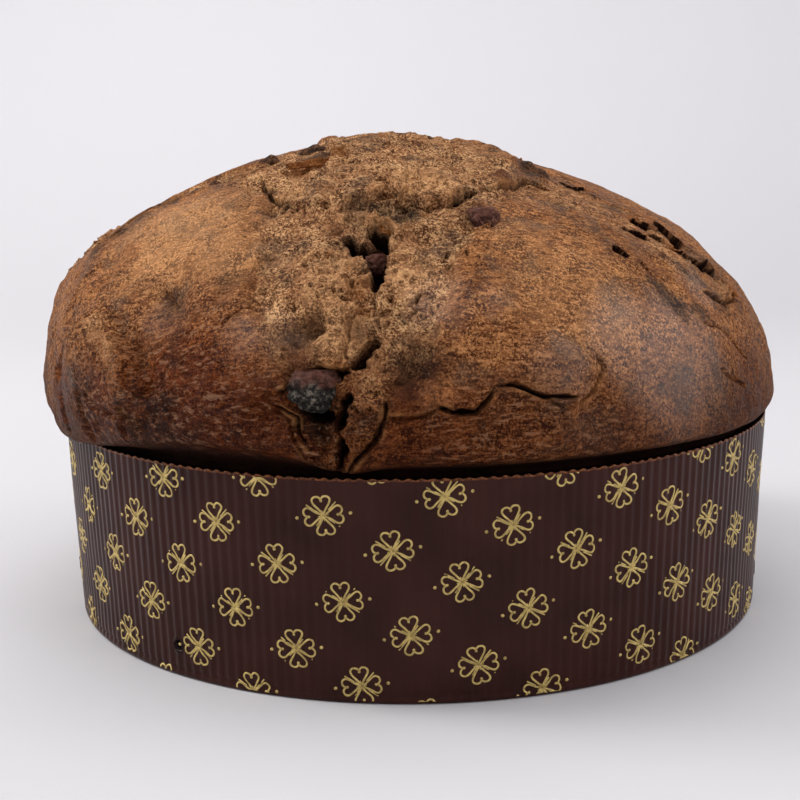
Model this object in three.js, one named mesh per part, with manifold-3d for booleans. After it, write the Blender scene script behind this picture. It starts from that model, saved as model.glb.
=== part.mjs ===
// A low chocolate panettone that was baked in its corrugated paper mould and still stands in it.
// Units are millimetres and +Z is up. The origin is the centre of the mould's underside, and the
// cut in the crust that opened widest faces -Y. Azimuths are degrees from -Y, positive towards +X.
import * as THREE from 'three';
import { mergeVertices } from 'three/addons/utils/BufferGeometryUtils.js';
import { ConvexGeometry } from 'three/addons/geometries/ConvexGeometry.js';
import { ImprovedNoise } from 'three/addons/math/ImprovedNoise.js';
import Module from 'manifold-3d';

const wasm = await Module();
wasm.setup();
const noise = new ImprovedNoise();

// The paper mould: a 1 kg size, tapering slightly to its glued floor.
const mould = {
  rimRadius: 110,
  baseRadius: 107.8,
  height: 60,
  wall: 1.4,
  floor: 1.2,
  flutes: 230,
  fluteDepth: 0.5,
};

// The holes of the two skewers that a panettone hangs upside down from while it cools.
const skewerHoleRadius = 1.4;
const skewerHoles = [[-76, 14], [-37.4, 9], [76, 9], [114.6, 14]];

// The loaf: a peaked dome over its widest line, and an undercut back to the mould's rim.
const loaf = {
  widestRadius: 112.4,
  widestHeight: 70,
  rise: 74,
  peakPower: 1.3,
  shoulderPower: 2.5,
  neckRadius: 107.6,
  neckHeight: 60.8,
  lean: 0.11,
  clearance: 0.35,
  columns: 108,
  rings: 32,
};

// Bands where the cut crust tore open: azimuth, height and half width along each band's middle.
const tornBands = [
  [[-3, 131, 34], [-5.5, 120, 31], [-6.4, 111, 28], [-7.6, 102, 24], [-7.6, 92, 18], [-7.5, 80, 11], [-10.3, 66, 4]],
  [[37, 128, 9], [54, 125.5, 14], [56.5, 117, 21], [60, 107.5, 22], [65, 93, 15], [67, 80, 9], [68, 66, 3]],
  [[-61, 134, 14], [-77, 128, 12], [-86, 117, 14], [-90, 104, 13], [-93, 90, 9], [-95, 70, 4]],
  [[160, 141, 22], [167, 128, 24], [170, 112, 21], [168, 96, 15], [171, 82, 9], [172, 68, 4]],
];
const tornMiddle = { at: [-8, 139], radius: 42 };
const tornDrop = 2.2;

// The tongue of dough at the top, which lifts clear of the front cut.
const tongue = { spine: [[170, 142, 24], [30, 139, 28], [4, 129, 26]], lift: 2.6 };

// Single swellings and hollows of the crust: azimuth, height, radius and height of each.
const swellings = [
  [-52, 88, 16, 3.2], [-41, 77, 12, 2.0], [-38, 101.5, 13, -2.6], [-6.2, 76.4, 9, 3.4], [21.3, 87, 12, 1.8],
  [17, 73, 12, 1.6], [-62, 112, 28, 2.2], [-19, 74, 7, -1.6], [40, 88, 26, 0.8], [0, 86, 9, -1.4],
  [95, 84, 18, 2.6], [118, 108, 24, 2.0], [137, 78, 13, 2.4], [-135, 80, 17, 2.8], [-118, 102, 16, -2.0],
  [-150, 104, 26, 2.2], [176, 76, 10, 2.8], [-78, 74, 14, 1.8], [82, 100, 15, -1.8], [-92, 106, 24, 3.0],
];

// Cracks: the width and depth at their middle, and the line they run along as azimuth and height.
const cracks = [
  { width: 5, depth: 12, line: [[-7.6, 122.7], [-3.6, 116.3], [-3, 110.6], [-3.7, 107.9], [-3, 105.6], [-4.9, 101.6]] },
  { width: 5, depth: 10, line: [[-3.3, 95.5], [-4.8, 92.4], [-7.3, 87.1], [-8.3, 80], [-9.7, 72], [-10, 66]] },
  { width: 5, depth: 9, line: [[0.5, 119.7], [6.5, 122.2], [14.2, 125.2], [25.5, 128.1], [42, 130.3], [59, 132]] },
  { width: 4, depth: 7, line: [[-56, 133.8], [-37, 129.4], [-25, 126.2], [-19, 124.2], [-12, 122.3], [-7.6, 122.7]] },
  { width: 3.5, depth: 5, line: [[-13.9, 86.4], [-11.8, 88.4], [-9.6, 87.5], [-7.3, 87.1]] },
  { width: 3, depth: 4, line: [[-0.8, 75.4], [3.6, 77.6], [7.2, 76.4], [11.4, 82.5], [14.2, 80.8], [18.1, 77.6]] },
  { width: 2.6, depth: 3, line: [[18.1, 77.6], [21.6, 76.8], [24.2, 80.3], [26.1, 84]] },
  { width: 2.6, depth: 2.6, line: [[-17.1, 75.4], [-14.9, 70.4], [-13.8, 66.1], [-11.4, 64]] },
  { width: 2.6, depth: 2.6, line: [[-1.9, 76.9], [-3.8, 72.7], [-6.6, 67], [-9.4, 64]] },
  { width: 4, depth: 7, line: [[56, 122], [67.9, 118.3], [69.9, 114], [62.7, 109], [64.6, 105.3], [68, 100]] },
  { width: 3, depth: 5, line: [[54.7, 115.5], [58, 112], [59, 108]] },
  { width: 3, depth: 4, line: [[39, 112], [41, 110], [43.7, 106.4]] },
  { width: 4, depth: 6, line: [[-71, 127], [-82, 118], [-88, 108], [-90, 97]] },
  { width: 5, depth: 10, line: [[158, 131], [166, 122], [164, 113], [171, 105], [168, 96], [172, 84]] },
  { width: 4, depth: 6, line: [[150, 124], [158, 126], [171, 123], [-178, 126]] },
  { width: 3, depth: 4, line: [[120, 80], [128, 77], [134, 82], [142, 80]] },
  { width: 3, depth: 4, line: [[-140, 84], [-131, 88], [-125, 84], [-117, 86]] },
];

// Pieces of dark chocolate that baked into the crust: azimuth, height, half sizes and sink depth.
const chunks = [
  { at: [-13, 82], half: [7.2, 5.4, 4.8], sink: 2 },
  { at: [18.9, 121.5], half: [4.8, 4.2, 3.0], sink: 1.6 },
  { at: [-3.3, 116], half: [3.3, 3.2, 3.0], sink: 4.2 },
  { at: [152, 106], half: [5.2, 4.6, 3.8], sink: 1.8 },
  { at: [-108, 92], half: [4.6, 4.2, 3.4], sink: 1.4 },
];
const chunkDetail = 1;

const colours = { crust: 0x7a5035, paper: 0x34201b, chocolate: 0x3a231b };

const radians = THREE.MathUtils.degToRad;

function aroundAxis(azimuth, radius, height) {
  const angle = radians(azimuth);
  return new THREE.Vector3(radius * Math.sin(angle), -radius * Math.cos(angle), height);
}

// The radius of the smooth dome, or of the undercut below its widest line.
function domeRadius(height) {
  const share = (height - loaf.widestHeight) / loaf.rise;
  if (share >= 0) {
    return loaf.widestRadius * (1 - Math.min(share, 1) ** loaf.shoulderPower) ** (1 / loaf.peakPower);
  }
  const drop = (loaf.widestHeight - height) / (loaf.widestHeight - loaf.neckHeight);
  const overhang = loaf.widestRadius - loaf.neckRadius;
  return loaf.neckRadius + overhang * Math.sqrt(Math.max(0, 1 - drop * drop));
}

function onDome([azimuth, height]) {
  return aroundAxis(azimuth, domeRadius(height), height);
}

// The direction out of the smooth dome at one of its points.
function outward(point) {
  const step = 0.5;
  const radius = Math.max(Math.hypot(point.x, point.y), 1e-3);
  const slope = (domeRadius(point.z - step) - domeRadius(point.z + step)) / (2 * step);
  return new THREE.Vector3(point.x / radius, point.y / radius, slope).normalize();
}

// Distance from a point to a band's middle line as a share of the half width there: 1 is its edge.
function shareAcross(point, band) {
  let nearest = Infinity;
  for (let i = 0; i + 1 < band.length; i += 1) {
    const segment = new THREE.Line3(onDome(band[i]), onDome(band[i + 1]));
    const along = segment.closestPointToPointParameter(point, true);
    const halfWidth = THREE.MathUtils.lerp(band[i][2], band[i + 1][2], along);
    const distance = segment.at(along, new THREE.Vector3()).distanceTo(point);
    nearest = Math.min(nearest, distance / halfWidth);
  }
  return nearest;
}

function wobble(point, scale) {
  return noise.noise(point.x / scale, point.y / scale, point.z / scale + 7.3);
}

// How torn the crust is at a point: 0 on the smooth skin and 1 inside a torn band.
function tornShare(point) {
  const edge = Math.min(
    ...tornBands.map((band) => shareAcross(point, band)),
    point.distanceTo(onDome(tornMiddle.at)) / tornMiddle.radius,
  );
  return 1 - THREE.MathUtils.smoothstep(edge + 0.25 * wobble(point, 14), 0.86, 1.06);
}

// How far the crust stands out of the smooth dome at a point, in mm.
function relief(point) {
  const torn = tornShare(point);
  const lifted = 1 - THREE.MathUtils.smoothstep(shareAcross(point, tongue.spine), 0.88, 1.04);
  let height = 1.8 * wobble(point, 46) + 0.7 * wobble(point, 19);
  height += torn * (1.5 * wobble(point, 9) + 1.2 * wobble(point, 5) - tornDrop);
  height += tongue.lift * lifted;
  for (const [azimuth, level, radius, rise] of swellings) {
    const reach = point.distanceTo(onDome([azimuth, level])) / radius;
    height += rise * Math.exp(-1.6 * reach * reach);
  }
  return height * THREE.MathUtils.smoothstep(point.z, loaf.neckHeight + 1, loaf.widestHeight);
}

function toSolid(geometry) {
  const bare = geometry.clone();
  for (const name of Object.keys(bare.attributes)) {
    if (name !== 'position') {
      bare.deleteAttribute(name);
    }
  }
  const merged = mergeVertices(bare, 1e-4);
  const triangles = [];
  for (let i = 0; i < merged.index.count; i += 3) {
    const [a, b, c] = [0, 1, 2].map((k) => merged.index.getX(i + k));
    if (a !== b && b !== c && c !== a) {
      triangles.push(a, b, c);
    }
  }
  return new wasm.Manifold(new wasm.Mesh({
    numProp: 3,
    vertProperties: merged.attributes.position.array,
    triVerts: new Uint32Array(triangles),
  }));
}

function toGeometry(solid) {
  const { vertProperties, triVerts } = solid.getMesh();
  const geometry = new THREE.BufferGeometry();
  geometry.setAttribute('position', new THREE.BufferAttribute(vertProperties, 3));
  geometry.setIndex(new THREE.BufferAttribute(triVerts, 1));
  geometry.computeVertexNormals();
  return geometry;
}

// Turns a shape that three.js made around or along +Y so that it stands along +Z.
function standUp(geometry) {
  return geometry.rotateX(Math.PI / 2);
}

// The dome rose unevenly: above the rim it leans towards -X.
function leanOver(geometry) {
  const position = geometry.attributes.position;
  for (let i = 0; i < position.count; i += 1) {
    const above = Math.max(0, position.getZ(i) - loaf.neckHeight);
    position.setX(i, position.getX(i) - loaf.lean * above);
  }
  return geometry;
}

function innerRadius(height) {
  const outer = THREE.MathUtils.lerp(mould.baseRadius, mould.rimRadius, height / mould.height);
  return outer - mould.wall;
}

// The loaf's outline from the middle of its flat base to the top of the dome.
function loafProfile() {
  const dome = [];
  const fineSteps = 60;
  for (let i = 0; i <= fineSteps; i += 1) {
    const share = Math.cos((i / fineSteps) * (Math.PI / 2));
    const height = loaf.widestHeight + loaf.rise * share;
    dome.push(new THREE.Vector2(domeRadius(height), height));
  }
  const undercutSteps = 12;
  for (let i = 1; i <= undercutSteps; i += 1) {
    const turn = (i / undercutSteps) * (Math.PI / 2);
    const height = THREE.MathUtils.lerp(loaf.widestHeight, loaf.neckHeight, Math.sin(turn));
    dome.push(new THREE.Vector2(domeRadius(height), height));
  }
  const outline = new THREE.SplineCurve(dome).getSpacedPoints(loaf.rings);
  outline[0].x = 0;
  const bottom = mould.floor + loaf.clearance;
  outline.push(new THREE.Vector2(innerRadius(bottom) - loaf.clearance, bottom));
  outline.push(new THREE.Vector2(0, bottom));
  return outline.reverse();
}

// One straight stretch of a crack: a wedge that is open above the crust and sharp at its bottom.
function crackWedge(from, to, widthFrom, widthTo, depthFrom, depthTo) {
  const along = new THREE.Vector3().subVectors(to, from).normalize();
  const corners = [];
  for (const [point, width, depth] of [[from, widthFrom, depthFrom], [to, widthTo, depthTo]]) {
    const out = outward(point);
    const side = new THREE.Vector3().crossVectors(along, out).normalize();
    for (const way of [-1, 1]) {
      corners.push(point.clone().addScaledVector(out, 8).addScaledVector(side, way * width));
    }
    corners.push(point.clone().addScaledVector(out, -depth));
  }
  return toSolid(new ConvexGeometry(corners));
}

function crackSolid({ width, depth, line }) {
  const points = line.map(onDome);
  const swell = (i) => Math.max(0.25, Math.sin((Math.PI * (i + 0.5)) / points.length));
  let crack = null;
  for (let i = 0; i + 1 < points.length; i += 1) {
    const [a, b] = [swell(i), swell(i + 1)];
    const wedge = crackWedge(points[i], points[i + 1], width * a, width * b, depth * a, depth * b);
    crack = crack ? crack.add(wedge) : wedge;
  }
  return crack;
}

// A lump of chocolate, larger by grow on every side when it is the pocket that the lump sits in.
function chunkGeometry({ at, half, sink }, grow) {
  const lump = new THREE.IcosahedronGeometry(1, chunkDetail);
  const position = lump.attributes.position;
  for (let i = 0; i < position.count; i += 1) {
    const direction = new THREE.Vector3().fromBufferAttribute(position, i);
    const bulge = 1 + 0.28 * wobble(direction.clone().addScalar(at[1]), 0.9);
    const [x, y, z] = half.map((size, axis) => direction.getComponent(axis) * (size * bulge + grow));
    position.setXYZ(i, x, y, z);
  }
  const centre = onDome(at);
  const out = outward(centre);
  lump.applyQuaternion(new THREE.Quaternion().setFromUnitVectors(new THREE.Vector3(0, 0, 1), out));
  centre.addScaledVector(out, relief(centre) - sink);
  return lump.translate(centre.x, centre.y, centre.z);
}

function makeLoaf() {
  const turned = standUp(new THREE.LatheGeometry(loafProfile(), loaf.columns));
  const position = turned.attributes.position;
  for (let i = 0; i < position.count; i += 1) {
    const point = new THREE.Vector3().fromBufferAttribute(position, i);
    if (point.z > loaf.neckHeight + 1) {
      point.addScaledVector(outward(point), relief(point));
      position.setXYZ(i, point.x, point.y, point.z);
    }
  }
  let solid = toSolid(turned);
  for (const crack of cracks) {
    solid = solid.subtract(crackSolid(crack));
  }
  for (const chunk of chunks) {
    solid = solid.subtract(toSolid(chunkGeometry(chunk, loaf.clearance + 0.1)));
  }
  const material = new THREE.MeshStandardMaterial({ color: colours.crust, roughness: 0.75, metalness: 0 });
  const mesh = new THREE.Mesh(leanOver(toGeometry(solid)), material);
  mesh.name = 'loaf';
  return mesh;
}

// The mould's outer wall is a ring of flutes: two corners for each, one out and one in.
function makeMould() {
  const corners = [];
  for (let i = 0; i < 2 * mould.flutes; i += 1) {
    const angle = (i * Math.PI) / mould.flutes;
    const radius = mould.rimRadius - (i % 2 ? mould.fluteDepth : 0);
    corners.push(new THREE.Vector2(radius * Math.cos(angle), radius * Math.sin(angle)));
  }
  const block = new THREE.ExtrudeGeometry(new THREE.Shape(corners), { depth: mould.height, bevelEnabled: false });
  const position = block.attributes.position;
  const taper = mould.baseRadius / mould.rimRadius;
  for (let i = 0; i < position.count; i += 1) {
    const scale = THREE.MathUtils.lerp(taper, 1, position.getZ(i) / mould.height);
    position.setXY(i, position.getX(i) * scale, position.getY(i) * scale);
  }
  const spare = 5;
  const depth = mould.height - mould.floor + spare;
  const cavity = standUp(new THREE.CylinderGeometry(
    innerRadius(mould.height + spare),
    innerRadius(mould.floor),
    depth,
    loaf.columns,
  )).translate(0, 0, mould.floor + depth / 2);
  let solid = toSolid(block).subtract(toSolid(cavity));
  for (const [azimuth, height] of skewerHoles) {
    const drill = new THREE.CylinderGeometry(skewerHoleRadius, skewerHoleRadius, 12, 10);
    const place = aroundAxis(azimuth, mould.baseRadius, height);
    drill.rotateZ(radians(azimuth));
    drill.translate(place.x, place.y, place.z);
    solid = solid.subtract(toSolid(drill));
  }
  const material = new THREE.MeshStandardMaterial({ color: colours.paper, roughness: 0.45, metalness: 0 });
  const mesh = new THREE.Mesh(toGeometry(solid), material);
  mesh.name = 'paper_mould';
  return mesh;
}

function makeChunk(chunk, index) {
  const material = new THREE.MeshStandardMaterial({ color: colours.chocolate, roughness: 0.6, metalness: 0 });
  const mesh = new THREE.Mesh(leanOver(chunkGeometry(chunk, 0)), material);
  mesh.name = `chocolate_piece_${index + 1}`;
  return mesh;
}

const panettone = new THREE.Group();
panettone.add(makeLoaf(), makeMould(), ...chunks.map(makeChunk));

export default panettone;
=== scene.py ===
import math

import bmesh
import bpy
import numpy as np
from mathutils import Matrix, Vector, noise


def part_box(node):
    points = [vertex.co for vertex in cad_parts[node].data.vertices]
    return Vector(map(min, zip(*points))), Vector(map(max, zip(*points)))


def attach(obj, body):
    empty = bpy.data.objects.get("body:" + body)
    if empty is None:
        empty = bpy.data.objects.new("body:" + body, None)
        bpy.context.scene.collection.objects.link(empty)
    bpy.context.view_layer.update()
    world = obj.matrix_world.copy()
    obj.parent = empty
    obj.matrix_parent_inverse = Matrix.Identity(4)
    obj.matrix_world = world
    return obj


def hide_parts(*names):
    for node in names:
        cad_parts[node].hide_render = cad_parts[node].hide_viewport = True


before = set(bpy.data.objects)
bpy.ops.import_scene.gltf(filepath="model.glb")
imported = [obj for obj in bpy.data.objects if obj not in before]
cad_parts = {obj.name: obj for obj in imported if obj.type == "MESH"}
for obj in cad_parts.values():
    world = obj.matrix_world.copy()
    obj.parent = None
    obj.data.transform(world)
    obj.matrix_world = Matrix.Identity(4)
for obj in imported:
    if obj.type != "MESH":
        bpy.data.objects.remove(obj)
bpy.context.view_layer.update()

# A low chocolate panettone that still stands in the corrugated paper mould it was baked in.
# Sizes are in millimetres until a mesh is finished. Azimuths run from the front, where the crust
# split widest, towards the right.
mm = 0.001

# the camera of the photograph, worked out from the mould's rim, base and sides
photo = {
    "side": 800,
    "focal": 1377.3,
    "distance": 446.4,
    "elevation": 10.643,
    "roll": -0.966,
    "target": (-4.78, 0.0, 59.05),
}

dome = {
    "widestRadius": 112.4, "widestHeight": 70.0, "rise": 74.0,
    "peakPower": 1.3, "shoulderPower": 2.5,
    "neckRadius": 107.6, "neckHeight": 60.8, "lean": 0.11,
    "baseRadius": 105.9, "baseHeight": 1.6,
}

mould = {
    "rimRadius": 110.0, "baseRadius": 107.8, "height": 60.0, "wall": 1.4, "floor": 1.2,
    "flutes": 230, "fluteDepth": 0.26, "stepsPerFlute": 8,
    "holes": [(-76, 14), (-37.4, 9), (76, 9), (114.6, 14)], "holeRadius": 1.3,
}


def smooth(low, high, value):
    share = np.clip((value - low) / (high - low), 0, 1)
    return share * share * (3 - 2 * share)


def unit(vectors):
    return vectors / np.maximum(np.linalg.norm(vectors, axis=-1, keepdims=True), 1e-9)


# places on the smooth dome, before it leans

def domeRadius(height):
    share = np.clip((height - dome["widestHeight"]) / dome["rise"], 0, 1)
    above = dome["widestRadius"] * (1 - share ** dome["shoulderPower"]) ** (1 / dome["peakPower"])
    drop = np.clip((dome["widestHeight"] - height) / (dome["widestHeight"] - dome["neckHeight"]), 0, 1)
    below = dome["neckRadius"] + (dome["widestRadius"] - dome["neckRadius"]) * np.sqrt(1 - drop ** 2)
    return np.where(height >= dome["widestHeight"], above, below)


def onDome(azimuth, height):
    radius = float(domeRadius(np.array(height)))
    angle = math.radians(azimuth)
    return np.array([radius * math.sin(angle), -radius * math.cos(angle), height])


def outward(points):
    step = 0.5
    flat = np.maximum(np.hypot(points[:, 0], points[:, 1]), 1e-3)
    slope = (domeRadius(points[:, 2] - step) - domeRadius(points[:, 2] + step)) / (2 * step)
    return unit(np.stack([points[:, 0] / flat, points[:, 1] / flat, slope], 1))


def insideDome(point):
    x = point[0] + dome["lean"] * max(0, point[2] - dome["neckHeight"])
    if point[2] >= dome["widestHeight"] + dome["rise"]:
        return False
    return math.hypot(x, point[1]) < float(domeRadius(np.array(max(point[2], dome["neckHeight"]))))


# the place on the dome that a pixel of the photograph shows
def fromPhoto(x, y):
    roll, tilt = math.radians(photo["roll"]), math.radians(photo["elevation"])
    u, v = x - photo["side"] / 2, y - photo["side"] / 2
    right = math.cos(roll) * u + math.sin(roll) * v
    down = -math.sin(roll) * u + math.cos(roll) * v
    forward = np.array([0, math.cos(tilt), -math.sin(tilt)])
    up = np.array([0, math.sin(tilt), math.cos(tilt)])
    eye = np.array(photo["target"]) - forward * photo["distance"]
    ray = unit(forward * photo["focal"] + np.array([1.0, 0, 0]) * right - up * down)
    reach, end = photo["distance"] - 160, photo["distance"] + 160
    while reach < end and not insideDome(eye + ray * reach):
        reach += 1.0
    if reach >= end:
        raise ValueError(f"pixel {x},{y} misses the dome")
    low, high = reach - 1.0, reach
    for _ in range(12):
        middle = (low + high) / 2
        low, high = (low, middle) if insideDome(eye + ray * middle) else (middle, high)
    place = eye + ray * high
    place[0] += dome["lean"] * max(0, place[2] - dome["neckHeight"])
    return place


# a line or spot is given as pixels of the photograph or, where the photograph doesn't reach,
# as azimuths and heights
def placesOf(entry):
    if "photo" in entry:
        return np.array([fromPhoto(*pixel) for pixel in entry["photo"]])
    return np.array([onDome(*spot) for spot in entry["at"]])


# a smooth random value for each point, about -1 to 1
def cloudy(points, size, seed=0.0):
    return np.array([noise.noise(Vector(p)) for p in points / size + seed])


# for each point the nearest place along a line, as a share of its length and as a count of its
# corners, and how far the point lies beside the line, above 0 on its left as seen from outside
def besideLine(points, normals, line):
    best = np.full(len(points), 1e9)
    share, corner, left = np.zeros(len(points)), np.zeros(len(points)), np.full(len(points), 1e9)
    steps = np.linalg.norm(np.diff(line, axis=0), axis=1)
    total, run = steps.sum(), 0.0
    for number, (a, b, step) in enumerate(zip(line[:-1], line[1:], steps)):
        way = (b - a) / step
        t = np.clip((points - a) @ way, 0, step)
        gap = points - (a + t[:, None] * way)
        distance = np.linalg.norm(gap, axis=1)
        nearer = distance < best
        side = np.sign(np.einsum("ij,ij->i", gap, np.cross(normals, way)))
        best[nearer] = distance[nearer]
        share[nearer] = ((run + t) / total)[nearer]
        corner[nearer] = (number + t / step)[nearer]
        left[nearer] = (distance * np.where(side == 0, 1, side))[nearer]
        run += step
    return share, corner, left


# bands where the crust tore open: how far, and azimuth, height and half width along the middle
torn = {
    "bands": [
        (1.0, [(-3, 131, 34), (-5.5, 120, 31), (-6.4, 111, 28), (-7.6, 102, 24), (-7.6, 92, 18),
              (-7.5, 80, 11), (-10.3, 66, 4)]),
        (0.4, [(37, 128, 9), (52, 125, 13), (55, 118, 16), (57, 110, 14), (60, 104, 9), (63, 99, 4)]),
        (0.9, [(-61, 134, 14), (-77, 128, 12), (-86, 117, 14), (-90, 104, 13), (-93, 90, 9),
              (-95, 70, 4)]),
        (1.0, [(160, 141, 22), (167, 128, 24), (170, 112, 21), (168, 96, 15), (171, 82, 9),
              (172, 68, 4)]),
    ],
    "middle": (-8, 139), "middleRadius": 42,
    "drop": 2.2,
}

tongue = {"spine": [(170, 142, 24), (30, 139, 28), (4, 129, 26)], "lift": 2.6}

# single swellings and hollows: azimuth, height, radius, rise
swellings = [
    (-52, 88, 16, 3.2), (-41, 77, 12, 2.0), (-38, 101.5, 13, -2.6), (-6.2, 76.4, 9, 3.4),
    (21.3, 87, 12, 1.8), (17, 73, 12, 1.6), (-62, 112, 28, 2.2), (-19, 74, 7, -1.6),
    (40, 88, 26, 0.8), (0, 86, 9, -1.4),
    (95, 84, 18, 2.6), (118, 108, 24, 2.0), (137, 78, 13, 2.4), (-135, 80, 17, 2.8), (-118, 102, 16, -2.0),
    (-150, 104, 26, 2.2), (176, 76, 10, 2.8), (-78, 74, 14, 1.8), (82, 100, 15, -1.8), (-92, 106, 24, 3.0),
]

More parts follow.
